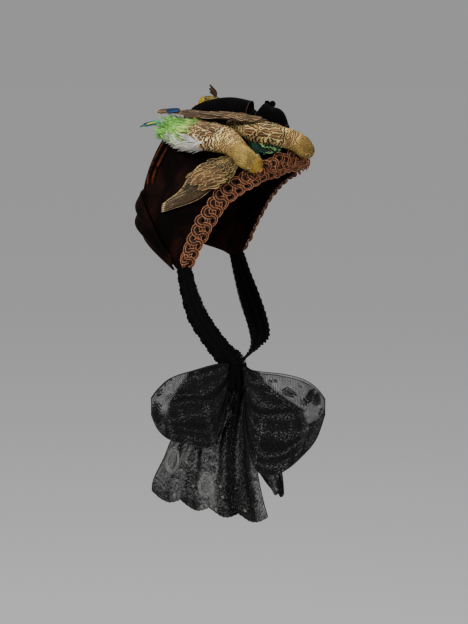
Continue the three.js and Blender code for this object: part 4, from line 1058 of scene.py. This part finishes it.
def tuftPlan():  # ruffled green feathers under the middle bird, the palest at the brow side
    s, n = tuftSettings, tuftSettings["count"]
    a0, b0 = rng.uniform(-0.05, 0.85, n), rng.uniform(-0.15, 0.9, n)
    pale = (a0 < 0.25) & (b0 < 0.5) & (rng.uniform(0, 1, n) < 0.8)
    tone = [np.where(pale[:, None], tints(n, s["light"][k], 0.2), tints(n, s["dark"][k], 0.35)) for k in (0, 1)]
    return {"a0": a0, "b0": b0, "a1": a0 + rng.uniform(-0.1, 0.45, n), "b1": b0 + rng.uniform(-0.35, 0.6, n),
        "half": s["half"] * rng.uniform(0.7, 1.4, n), "lift": np.full(n, s["lift"]), "tip": rng.uniform(*s["tip"], n),
        "bow": rng.uniform(-0.15, 0.15, n), "centre": tone[0], "edge": tone[1]}


surface = lambda a, b, h: wingPlace(wingRows["middleNearWing"], np.clip(a, 0, 1.05), np.clip(b, -0.3, 1.4), h)
featherPiece("middleNearWingTuft", surface, [tuftPlan()], "strand", feathers["fringeFeather"])
print("wings made")

# tails and raised feathers
stripWords = "x y z half faceX faceY faceZ"
bladeRows = tablesOf(stripWords,
    nearTail=((-37.4, 56.8, 13.5, 5.5, -0.6, -0.15, 0.8), (-37.8, 69, 16.5, 4.8, -0.65, -0.15, 0.75),
        (-37, 81, 15, 3, -0.7, -0.1, 0.7), (-36.5, 89, 12, 1.3, -0.7, -0.1, 0.7)),
    middleTail=((-31, 48, 29, 4.5, -0.6, -0.1, 0.8), (-31, 58, 28.5, 5, -0.65, -0.1, 0.76),
        (-30, 67, 28, 4.2, -0.7, -0.1, 0.7), (-30, 74, 27, 2.2, -0.7, -0.1, 0.7)),
    farTail=((33.4, -25.1, 19.2, 4, -0.2, -0.2, 0.95), (27, -28, 27, 5, -0.6, -0.3, 0.7),
        (20, -29.5, 34, 6, -0.8, -0.2, 0.5), (15, -30.5, 39, 4.5, -0.95, -0.2, 0.3)),
    farWing=((24, 30, 41.4, 3.5, -0.9, -0.2, 0.3), (23, 31, 46, 4, -0.95, -0.2, 0.2), (21, 34, 50, 3, -0.95, -0.2, 0.1),
        (20, 36.5, 54, 1.5, -0.95, -0.2, 0.1)))
bladeSettings = {  # web: the two sides of the skin under the feathers
    "wall": 0.6, "steps": (60, 16), "size": (12, 40), "long": 0.74, "sunk": -0.4, "camber": 0.8,
    "nodes": {"nearTail": "near_bird_tail", "middleTail": "middle_bird_tail", "farTail": "far_bird_tail",
        "farWing": "far_bird_wing"},
    "web": {"nearTail": (0.3, 0.7), "middleTail": (0.25, 0.75), "farTail": (0.25, 0.75), "farWing": (0.4, 0.6)}}
# foot, finish (each along and over), half width, lift, centre, edge
bladeQuills = {
    "nearTail": (((0, 0.3), (0.99, 0.42), 1.3, 0.4, (22, 62, 74), (14, 22, 30)),
        ((0, 0.4), (0.9, 0.7), 1.2, 0.9, (40, 112, 96), (16, 28, 34)),
        ((0, 0.5), (0.72, 0.95), 1.2, 1.3, (30, 92, 84), (18, 30, 36)),
        ((0.02, 0.6), (0.8, 0.1), 1.1, 1.1, (34, 84, 104), (14, 22, 32)),
        ((0.05, 0.5), (0.6, 0.02), 1.0, 1.6, (70, 150, 116), (120, 180, 130)),
        ((0.36, 0.55), (0.66, 0.66), 0.9, 2.0, (206, 186, 50), (226, 208, 96)),
        ((0.0, 0.5), (0.5, 0.5), 1.6, 1.6, (52, 128, 92), (110, 170, 118))),
    "middleTail": (((0, 0.4), (0.99, 0.5), 2.0, 0.3, (58, 36, 24), (176, 140, 104)),
        ((0, 0.3), (0.92, 0.24), 1.8, 0.7, (66, 42, 28), (196, 164, 124)),
        ((0, 0.6), (0.95, 0.72), 1.8, 1.0, (52, 32, 22), (204, 172, 130)),
        ((0, 0.5), (0.8, 0.9), 1.6, 1.4, (60, 40, 26), (186, 150, 112)),
        ((0, 0.4), (0.52, 0.46), 2.1, 1.9, (8, 46, 92), (6, 18, 40)),
        ((0, 0.7), (0.42, 0.8), 1.7, 2.2, (12, 64, 112), (8, 24, 48))),
    "farTail": (((0, 0.45), (0.97, 0.24), 3.3, 0.4, (34, 24, 20), (84, 64, 52)),
        ((0, 0.55), (0.99, 0.78), 3.3, 1.2, (30, 22, 18), (78, 60, 50)),
        ((0, 0.5), (0.8, 0.5), 3.0, 0.2, (26, 20, 16), (60, 46, 38))),
    "farWing": (((0, 0.45), (0.99, 0.2), 1.2, 0.4, (64, 44, 32), (140, 112, 88)),
        ((0, 0.55), (0.8, 0.75), 1.1, 0.9, (54, 38, 28), (150, 122, 98)),
        ((0, 0.6), (0.62, 1.0), 1.0, 0.6, (48, 36, 26), (120, 96, 74)))}


def stripPlace(rows, along, step):  # the middle of a strip, its side and outward directions and its half width
    at = readRows(rows, along)
    middle = lambda share: stack(*(column(rows[axis], share) for axis in "xyz"))
    out = unit(stack(at["faceX"], at["faceY"], at["faceZ"]))
    forward = middle(np.minimum(along + step, 1)) - middle(np.maximum(along - step, 0))
    return middle(along), unit(np.cross(out, forward)), out, at["half"]


def bladePlace(rows, along, over, height):
    middle, side, out, half = stripPlace(rows, along, 0.05)
    off = mix(-1, 1, over)
    rise = bladeSettings["camber"] * (1 - off * off) + height
    return middle + side * (off * half)[..., None] + out * rise[..., None]


for name, rows in bladeRows.items():
    s, slot = bladeSettings, "tail_feathers"
    low, high = s["web"][name]
    face = lambda u, v: bladePlace(rows, u * s["long"], mix(low, high, v), np.full_like(u, s["sunk"]))
    addCloth(name + "Web", face, s["steps"], s["size"], wingSkin, s["nodes"][name], s["wall"])
    foot, finish, half, lift, centre, edge = zip(*bladeQuills[name])
    (a0, b0), (a1, b1), lift = np.array(foot).T, np.array(finish).T, np.array(lift)
    plan = {"a0": a0, "b0": b0, "a1": a1, "b1": b1, "half": half, "lift": lift - 0.2, "tip": lift,
        "blunt": np.full(len(half), 3.0), "centre": np.concatenate([tints(1, tone) for tone in centre]),
        "edge": np.concatenate([tints(1, tone) for tone in edge])}
    surface = lambda a, b, h: bladePlace(rows, np.clip(a, 0, 1), b, h)
    featherPiece(name + "Quills", surface, [plan], "long", feathers["quillFeather"])
print("tails made")


# ties and chin bow
tieRows = tablesOf(stripWords,
    nearTie=((-74, 29, -117, 7, -1, 0, -0.1), (-75.5, 26, -125, 8, -1, 0, -0.1), (-76, 21, -144, 9.5, -1, 0, -0.15),
        (-75, 12.5, -168, 11.5, -0.98, 0, -0.2), (-71, 1.5, -187, 11.5, -0.95, -0.1, -0.3),
        (-66, -10, -204, 12.5, -0.92, -0.1, -0.35), (-62, -18, -214, 14, -0.92, -0.1, -0.35),
        (-60, -22, -223, 12, -0.95, 0, -0.2)),
    farTie=((74, 29, -117, 7, 1, 0, -0.1), (75.5, 26, -125, 8, 1, 0, -0.1), (76, 21, -144, 9.5, 1, 0, -0.15),
        (73, 12, -168, 11.5, 0.98, 0, -0.2), (63, 0, -190, 11.5, 0.8, -0.2, -0.55),
        (42, -11, -206, 11, 0.45, -0.35, -0.82), (12, -15, -214, 10, 0.05, -0.55, -0.83),
        (-20, -16, -218, 9, -0.2, -0.7, -0.68), (-57, -21, -225, 6, -0.35, -0.75, -0.55)))
tieSettings = {
    "pleats": 3, "pleat": 0.9, "ruffle": 0.9, "ruffles": {"nearTie": 13, "farTie": 28}, "wall": 0.5, "closed": 1.1,
    "steps": {"nearTie": (220, 60), "farTie": (380, 60)}, "nodes": {"nearTie": "near_tie", "farTie": "far_tie"},
    "flat": {"nearTie": (0.0245, 0.128), "farTie": (0.0225, 0.255)}}


def addLace(name, settings, face, cover, material):
    s, flat = settings, settings["flat"][name]
    size = (flat[1] * 1000, flat[0] * 1000)
    return addCloth(name, face, s["steps"][name], size, material, s["nodes"][name], s["wall"], cover)


def tiePlace(name, along, over):
    s = tieSettings
    middle, side, out, half = stripPlace(tieRows[name], along, 0.04)
    off, waves = mix(-1, 1, over), 2 * np.pi * s["ruffles"][name] * along
    edge = np.abs(off) ** 3
    pleat = s["pleat"] * np.sin(2 * np.pi * s["pleats"] * over + 5 * along + wander(along * 6, 3))
    pleat = pleat + s["ruffle"] * np.sin(waves + 2.0 * off) * edge
    wide = off * half * (1 + 0.035 * edge * np.sin(3 * waves))
    return middle + side * wide[..., None] + out * pleat[..., None]


def tieCover(along, over):  # closely worked, with gaps along one edge
    gaps = np.clip(wander(along * 9, 11) * 2 - 0.2, 0, 1)
    return tieSettings["closed"] - 0.9 * gaps * np.clip(3 * over - 2, 0, 1)


for name in tieRows:
    tie = addLace(name, tieSettings, lambda u, v: tiePlace(name, u, v), tieCover, tieLace)
    addSheet(tie, tieSettings["flat"][name], "gathered", ["crownVelvet"])

loopRows = tablesOf("y top low apart",
    backLaceLoop=((-15, -216, -246, 5), (-6, -217, -285, 7), (6, -220, -301, 8), (24, -226, -298.5, 9),
        (46, -234, -296, 8), (60, -246, -287, 5), (68, -256, -272, 2.2)),
    frontLaceLoop=((-31, -218, -250, 5), (-37, -222, -300, 7), (-48, -223.5, -322, 8), (-70, -224.5, -321, 9),
        (-91, -228.5, -303, 8), (-105, -236, -285, 5), (-114, -246, -260, 2.2)))
loopSettings = {  # sheer: where the open rim starts at the top, and how far it draws back further down
    "middle": -61, "fold": 1.5, "folds": 2.7, "wall": 0.4, "steps": {name: (200, 108) for name in loopRows},
    "nodes": {"backLaceLoop": "lace_loop_back", "frontLaceLoop": "lace_loop_front"},
    "flat": {"backLaceLoop": (0.07, 0.165), "frontLaceLoop": (0.087, 0.165)},
    "thin": {"backLaceLoop": 0.12, "frontLaceLoop": 0.32},
    "sheer": {"backLaceLoop": (0.5, 0.3), "frontLaceLoop": (0.26, 0.86)}}


def loopPlace(name, along, down, height=0.0):  # along: out on one layer, back to the knot on the other
    s, out = loopSettings, 1 - np.abs(2 * along - 1)
    layer, at = np.where(along < 0.5, -1.0, 1.0), readRows(loopRows[name], out)
    crease = np.sin(2 * np.pi * s["folds"] * (down + 0.05 * layer) + 2.2 * out)
    crease = crease + 0.9 * wander(down * 11 + 2 * out + layer, 21) * (1 - out)
    fold = s["fold"] * crease * np.clip(np.sin(np.pi * np.clip(out + 0.12, 0, 1)), 0, 1) * (1.15 - out)
    depth = np.where(out > 0.999, 0, layer * at["apart"] / 2) + layer * height
    return stack(s["middle"] + depth + fold, at["y"], mix(at["top"], at["low"], down))


def loopCover(name, along, down):  # worked close round the knot, an open net at the rim
    s, out = loopSettings, 1 - np.abs(2 * along - 1)
    start, slope = s["sheer"][name]
    rim = np.clip((out - start - slope * np.minimum(down, 0.4) - 0.12 * down) / 0.035, 0, 1)
    rim = rim * np.clip(1.5 - 1.05 * down, 0, 1)
    sway = wander(down * 6 + 3 * out, 47)  # pleats spread from the knot; their bands thin the net, which opens it and brings the lace's painted glints onto them as painted highlight
    fan = np.clip(1.3 * np.abs(np.sin(np.pi * 6 * (down - 0.12 * out) + 1.2 + 1.6 * sway)), 0, 1)
    line = np.exp(-((down - 0.3 - 0.45 * out) / 0.02) ** 2) + np.exp(-((down - 0.62 - 0.2 * out) / 0.015) ** 2)
    holes = np.clip(wander(out * 26 + 5 * down, 41) + wander(down * 31 - 4 * out, 43) - 0.7, 0, 1)
    close = 1 - s["thin"][name] * (1 - fan) * np.clip(out * 2, 0, 1) - 0.3 * holes
    return np.clip(close * (1 - rim) + rim * (0.1 + 0.8 * np.clip(line, 0, 1)), 0, 1)


laceSheets = {}
for name, rows in loopRows.items():
    way = lambda u: 1 - u if rows["y"][0] > rows["y"][-1] else u  # both loops turn the same side outwards
    face, cover = lambda u, v: loopPlace(name, way(u), v), lambda u, v: loopCover(name, way(u), v)
    laceSheets[name] = (addLace(name, loopSettings, face, cover, netLace), "folded", {})

# worked flowers and leaves on the net, as leaf shapes (start, finish, half width) round the foot of each motif
ray = lambda turn, length: (length * math.cos(turn), length * math.sin(turn))
pairs = [(i, side) for i in range(5) for side in (-1, 1)]
motifShapes = {
    "spray": [((0.0, 0), (1.0, 0.04), 0.014),
        *(((0.12 + 0.17 * i, 0), (0.34 + 0.17 * i, side * (0.3 - 0.03 * i)), 0.046) for i, side in pairs),
        ((0.92, 0.02), (1.24, 0.05), 0.06)],
    "fan": [((0.1, 0), ray(turn, 1), 0.026) for turn in np.linspace(-1.1, 1.1, 9)],
    "flower": [(ray(turn, 0.14), ray(turn, 0.62), 0.085) for turn in np.linspace(0, 5.385, 7)],
    "chevron": [((0.2 * i, 0), (0.16 + 0.2 * i, side * 0.24), 0.035) for i, side in pairs]}
motifSettings = {  # cords: of the rings on the ends, on the loops, and along every edge
    "lift": 0.35, "camber": 0.05, "blunt": 3.0, "dark": (10, 10, 10), "pale": (20, 20, 20), "ring": 1.1,
    "ringCord": (0.38, 0.42), "hemCord": 0.42, "edgePoints": 220, "innerHem": 0.955}
# kind, out from the knot, down, turn in degrees, length in mm
motifPlan = {
    "backLaceLoop": (("spray", 0.86, 0.3, 84, 17), ("spray", 0.78, 0.62, 60, 12), ("flower", 0.82, 0.12, 0, 6),
        ("flower", 0.72, 0.72, 30, 6), ("spray", 0.93, 0.45, 110, 9), ("flower", 0.9, 0.75, 20, 5),
        ("spray", 0.6, 0.9, -60, 11), ("flower", 0.7, 0.3, 0, 5)),
    "frontLaceLoop": (("spray", 0.72, 0.3, -70, 15), ("flower", 0.7, 0.28, 0, 7), ("spray", 0.84, 0.36, -85, 13),
        ("flower", 0.84, 0.2, 30, 6), ("spray", 0.5, 0.14, 25, 13), ("flower", 0.42, 0.08, 0, 5),
        ("spray", 0.62, 0.38, 70, 12), ("flower", 0.9, 0.5, 0, 5), ("spray", 0.8, 0.6, 110, 12),
        ("flower", 0.56, 0.72, 0, 6), ("spray", 0.42, 0.56, 80, 14), ("flower", 0.66, 0.62, 20, 6)),
    "wideLaceEnd": (("almond", 0.6, 0.1, 14, 22), ("almond", 0.745, 0.48, 2, 21), ("chevron", 0.66, 0.31, 4, 20),
        ("fan", 0.86, 0.125, 0, 13), ("fan", 0.87, 0.375, 0, 13), ("fan", 0.88, 0.625, 0, 13),
        ("fan", 0.88, 0.875, 0, 13), ("spray", 0.45, 0.35, 6, 14), ("spray", 0.7, 0.92, 0, 14),
        ("flower", 0.5, 0.12, 0, 6), ("spray", 0.3, 0.55, 10, 12), ("flower", 0.62, 0.43, 0, 6),
        ("spray", 0.56, 0.62, 0, 12), ("flower", 0.7, 0.75, 0, 6), ("leaf", 0.62, 0.23, 32, 9),
        ("leaf", 0.71, 0.2, -30, 9), ("leaf", 0.79, 0.1, 40, 9), ("leaf", 0.73, 0.37, 55, 8),
        ("leaf", 0.8, 0.33, -20, 10), ("leaf", 0.59, 0.38, -50, 8), ("leaf", 0.54, 0.29, 20, 9),
        ("leaf", 0.5, 0.2, -40, 8), ("leaf", 0.82, 0.22, 0, 9), ("leaf", 0.68, 0.6, -35, 10),
        ("leaf", 0.79, 0.63, 30, 10), ("leaf", 0.61, 0.53, 42, 8), ("leaf", 0.55, 0.46, -30, 8),
        ("leaf", 0.84, 0.74, 20, 9), ("leaf", 0.74, 0.7, -20, 9), ("leaf", 0.64, 0.82, 10, 9),
        ("leaf", 0.82, 0.93, 0, 8), ("leaf", 0.86, 0.48, 88, 8)),
    "narrowLaceEnd": (("spray", 0.5, 0.4, 0, 14), ("spray", 0.68, 0.75, 10, 12), ("flower", 0.82, 0.4, 0, 6))}
ringPlan = {
    "backLaceLoop": ((0.72, 0.06), (0.66, 0.03), (0.8, 0.62), (0.88, 0.3), (0.5, 0.68)),
    "frontLaceLoop": ((0.46, 0.06), (0.52, 0.16), (0.66, 0.07), (0.8, 0.12), (0.82, 0.7), (0.6, 0.36)),
    "wideLaceEnd": ((0.95, 0.44), (0.95, 0.48), (0.95, 0.52), (0.95, 0.56), (0.6, 0.25), (0.66, 0.22), (0.76, 0.36),
        (0.8, 0.64), (0.74, 0.2), (0.58, 0.52), (0.9, 0.2), (0.9, 0.82), (0.72, 0.62)),
    "narrowLaceEnd": ((0.9, 0.5), (0.6, 0.6))}

endRows = tablesOf("rearZ frontZ rear front fold",
    wideLaceEnd=((-238, -238, -13, -33, 0.5), (-262, -262, 10, -33, 1.5), (-290, -295, 44, -38, 1.8),
        (-318, -325, 58, -42, 1.8), (-340, -352, 69, -48, 1.2), (-352, -369, 71, -53, 0.8)),
    narrowLaceEnd=((-250, -250, -26, -34, 0.4), (-282, -282, -30, -60, 1), (-312, -312, -36, -65, 1.2),
        (-332, -332, -48, -68, 0.8), (-342, -345, -57, -69, 0.4)))
endSettings = {
    "folds": 4, "wall": 0.4, "x": {"wideLaceEnd": -53.8, "narrowLaceEnd": -51.4},
    "scallop": {"wideLaceEnd": 6.5, "narrowLaceEnd": 3}, "scallops": {"wideLaceEnd": 4, "narrowLaceEnd": 2},
    "steps": {"wideLaceEnd": (128, 150), "narrowLaceEnd": (100, 50)},
    "nodes": {"wideLaceEnd": "lace_end_wide", "narrowLaceEnd": "lace_end_narrow"},
    "flat": {"wideLaceEnd": (0.1, 0.12), "narrowLaceEnd": (0.03, 0.1)},
    "area": {"wideLaceEnd": 0.0085, "narrowLaceEnd": 0.0022}}


def endPlace(name, down, over, height=0.0):
    s, at = endSettings, readRows(endRows[name], down)
    fold = at["fold"] * (np.sin(2 * np.pi * s["folds"] * over) + 0.4 * np.sin(2 * np.pi * 9 * over + 1))
    hem = s["scallop"][name] * down ** 4 * np.abs(np.sin(np.pi * s["scallops"][name] * over))
    hem = hem + 0.7 * down ** 12 * np.abs(np.sin(np.pi * 7 * s["scallops"][name] * over))
    z = mix(at["rearZ"], at["frontZ"], np.sin(np.pi / 2 * over))
    return stack(s["x"][name] + fold - height, mix(at["rear"], at["front"], over), z - hem)


def endCover(name, down, over):  # closer bands along the wide end, open almonds in it
    if name == "narrowLaceEnd":
        return 0.72 + 0.18 * np.sin(7 * over + 9 * down)
    bands = ((1, 0.72, 0.07), (0.7, 0.88, 0.03), (0.35, 0.3, 0.03))
    band = sum(much * np.exp(-((over - at) / wide) ** 2) for much, at, wide in bands)
    patch = np.clip(0.5 + wander(over * 26 + 9 * down, 51) + wander(down * 31 - 7 * over, 53), 0, 1)
    almonds = sum(np.exp(-((down - a) / (0.0055 * length)) ** 4 - ((over - b) / (0.0024 * length)) ** 2)
        for kind, a, b, turn, length in motifPlan[name] if kind == "almond")
    close = 0.5 + 0.18 * patch + 0.55 * band + 0.6 * np.clip(0.5 - down, 0, 1)
    return np.clip(mix(close, 0.42, np.clip(almonds, 0, 1)), 0, 1)


for name in endRows:
    face, cover = lambda u, v: endPlace(name, u, v), lambda u, v: endCover(name, u, v)
    end = addLace(name, endSettings, face, cover, endLace)
    laceSheets[name] = (end, "hung", {"area": endSettings["area"][name]})


def laceSurface(name, far=False):  # a runs out from the knot and b down, on the near or the far side
    if name in endRows:
        return lambda a, b, h: endPlace(name, np.clip(a, 0, 1), np.clip(b, 0, 1), h)
    return lambda a, b, h: loopPlace(name, np.clip(1 - a / 2 if far else a / 2, 0, 1), np.clip(b, 0, 1), h)


def motifMap(surface, a, b, turn=0, size=1):  # from x and y round the foot of a motif to a and b on its lace
    one, step, c, s = np.ones(1), 0.02, math.cos(math.radians(turn)), math.sin(math.radians(turn))
    here = surface(a * one, b * one, 0 * one)
    reach = lambda da, db: np.linalg.norm(surface((a + da) * one, (b + db) * one, 0 * one) - here) / step
    scaleA, scaleB = reach(-step, 0), reach(0, -step if b > 0.5 else step)
    return lambda x, y: (a + (x * c - y * s) * size / scaleA, b + (x * s + y * c) * size / scaleB)


def motifLeaves(surface, plan):
    s, rows = motifSettings, []
    for kind, a, b, turn, length in plan:
        spot = motifMap(surface, a, b, turn, length)
        rows += [(*spot(*start), *spot(*finish), half * length) for start, finish, half in motifShapes.get(kind, ())]
    a0, b0, a1, b1, half = np.array(rows).T
    n, lift = len(rows), np.full(len(rows), s["lift"])
    return {"a0": a0, "b0": b0, "a1": a1, "b1": b1, "half": half, "lift": lift, "tip": lift,
        "camber": np.full(n, s["camber"]), "blunt": np.full(n, s["blunt"]),
        "centre": tints(n, s["dark"]), "edge": tints(n, s["pale"])}


def almondLine(surface, a, b, turn, length):  # closed outline round an almond, pointed at both ends
    t = np.linspace(0, 2 * np.pi, 41)
    x, y = -0.52 * length * np.cos(t), length * 0.27 * np.sign(np.sin(t)) * np.abs(np.sin(t)) ** 1.5
    return surface(*motifMap(surface, a, b, turn)(x, y), np.full_like(t, 0.5))


def ringLine(surface, a, b):
    turn, size = np.linspace(0, 2 * np.pi, 17), motifSettings["ring"]
    return surface(*motifMap(surface, a, b)(size * np.cos(turn), size * np.sin(turn)), np.full_like(turn, 0.4))


for name, plan in motifPlan.items():
    s, near, far, isLoop = motifSettings, laceSurface(name), laceSurface(name, True), name in loopRows
    worked = [featherPiece(name + "Motifs", near, [motifLeaves(near, plan)], "small", motifSilk)]
    outline = lambda word, grow: [almondLine(near, a, b, turn, length * size)
        for kind, a, b, turn, length in plan if kind == word for size in grow]
    rings = [ringLine(near, a, b) for a, b in ringPlan[name]] + outline("almond", (1.0, 1.25))
    rings = cordMesh(rings, s["ringCord"][isLoop], 5, closed=True)
    worked.append(addPiece(name + "Rings", rings, laceCord if isLoop else paleCord))
    t, one = np.linspace(0, 1, s["edgePoints"]), np.ones(s["edgePoints"])
    if isLoop:
        worked.append(featherPiece(name + "FarMotifs", far, [motifLeaves(far, plan)], "small", motifSilk))
        edges = [loopPlace(name, t, 0 * one), loopPlace(name, t, one), loopPlace(name, 0.5 * one, t)]
    else:
        edges = [endPlace(name, t, 0 * one), endPlace(name, t, one), endPlace(name, one, t)]
        edges += [endPlace(name, s["innerHem"] * one, t), *outline("leaf", (1,))]
    worked.append(addPiece(name + "Edges", cordMesh(edges, s["hemCord"], 5), laceCord))
    sheet, held, more = laceSheets[name]
    flat = (loopSettings if isLoop else endSettings)["flat"][name]
    addSheet(sheet, flat, held, ["chinKnot"], with_pieces=worked, **more)

chinKnotSettings = {"steps": (120, 60), "size": (40, 30), "x": -61, "y": -23, "z": -231, "halfX": 7, "halfY": 9.5,
    "halfZ": 13, "folds": 7, "fold": 0.2, "twist": 2.4}


def chinKnotFace(u, v):  # gathered cloth that turns as it passes through the knot
    s = chinKnotSettings
    turn, tilt = 2 * np.pi * u, np.pi * (v - 0.5)
    fold = 1 + s["fold"] * np.sin(s["folds"] * turn + s["twist"] * 2 * (v - 0.5)) * np.cos(tilt)
    fold = fold + 0.05 * np.sin(11 * turn - 4 * v)
    waist = np.cos(tilt) ** 0.7 * (1 - 0.18 * np.cos(tilt) ** 4)
    return stack(s["x"] + s["halfX"] * fold * waist * np.cos(turn), s["y"] + s["halfY"] * fold * waist * np.sin(turn),
        s["z"] + s["halfZ"] * np.sin(tilt))


knot = gridMesh(chinKnotFace, chinKnotSettings["steps"], chinKnotSettings["size"], weld=True)
addPiece("chinKnot", knot, knotSilk, ["chin_knot"])
print("ties and chin bow made")


# floor, backdrop and lights
stageSettings = {"floor": -0.85, "size": 30, "shade": (178, 178, 178), "glow": 0.2, "ambient": 0.3, "backdrop": 0.33}
lampSettings = {"target": (-0.02, 0, -0.15), "lamps": {  # place, size and power of each
    "keyLamp": ((-1.6, 0.9, 1.5), 0.9, 44), "fillLamp": ((-1.3, -1.7, 0.7), 1.4, 12),
    "topLamp": ((0.3, 0.2, 1.9), 1.4, 24)}}


def addStage():
    s = stageSettings
    bm = bmesh.new()
    bmesh.ops.create_grid(bm, x_segments=1, y_segments=1, size=s["size"])
    bmesh.ops.translate(bm, verts=bm.verts, vec=(0, 0, s["floor"]))
    mesh = toMesh(bm)
    floor = bpy.data.objects.new("floor", mesh)
    bpy.context.scene.collection.objects.link(floor)
    paper = newMaterial("floorPaper", Roughness=0.9, Base_Color=linear(*s["shade"]), Specular_IOR_Level=0.0,
        Emission_Color=(1, 1, 1, 1), Emission_Strength=s["glow"])
    mesh.materials.append(paper[0])
    world = bpy.data.worlds.new("studio")
    bpy.context.scene.world = world
    world.use_nodes = True
    tree = world.node_tree
    seen = addNode(tree, "LightPath").outputs["Is Camera Ray"]
    shade = blend(tree, seen, (s["ambient"],) * 3 + (1,), (s["backdrop"],) * 3 + (1,))
    feedAll(tree, tree.nodes["Background"], {"Color": shade, "Strength": 1.0})


def addLamp(name, place, size, power):
    data = bpy.data.lights.new(name, "AREA")
    data.shape, data.size, data.energy = "DISK", size, power
    lamp = bpy.data.objects.new(name, data)
    lamp.location = place
    lamp.rotation_euler = (Vector(lampSettings["target"]) - Vector(place)).to_track_quat("-Z", "Y").to_euler()
    bpy.context.scene.collection.objects.link(lamp)


addStage()
for name, values in lampSettings["lamps"].items():
    addLamp(name, *values)
print("stage and lamps set")
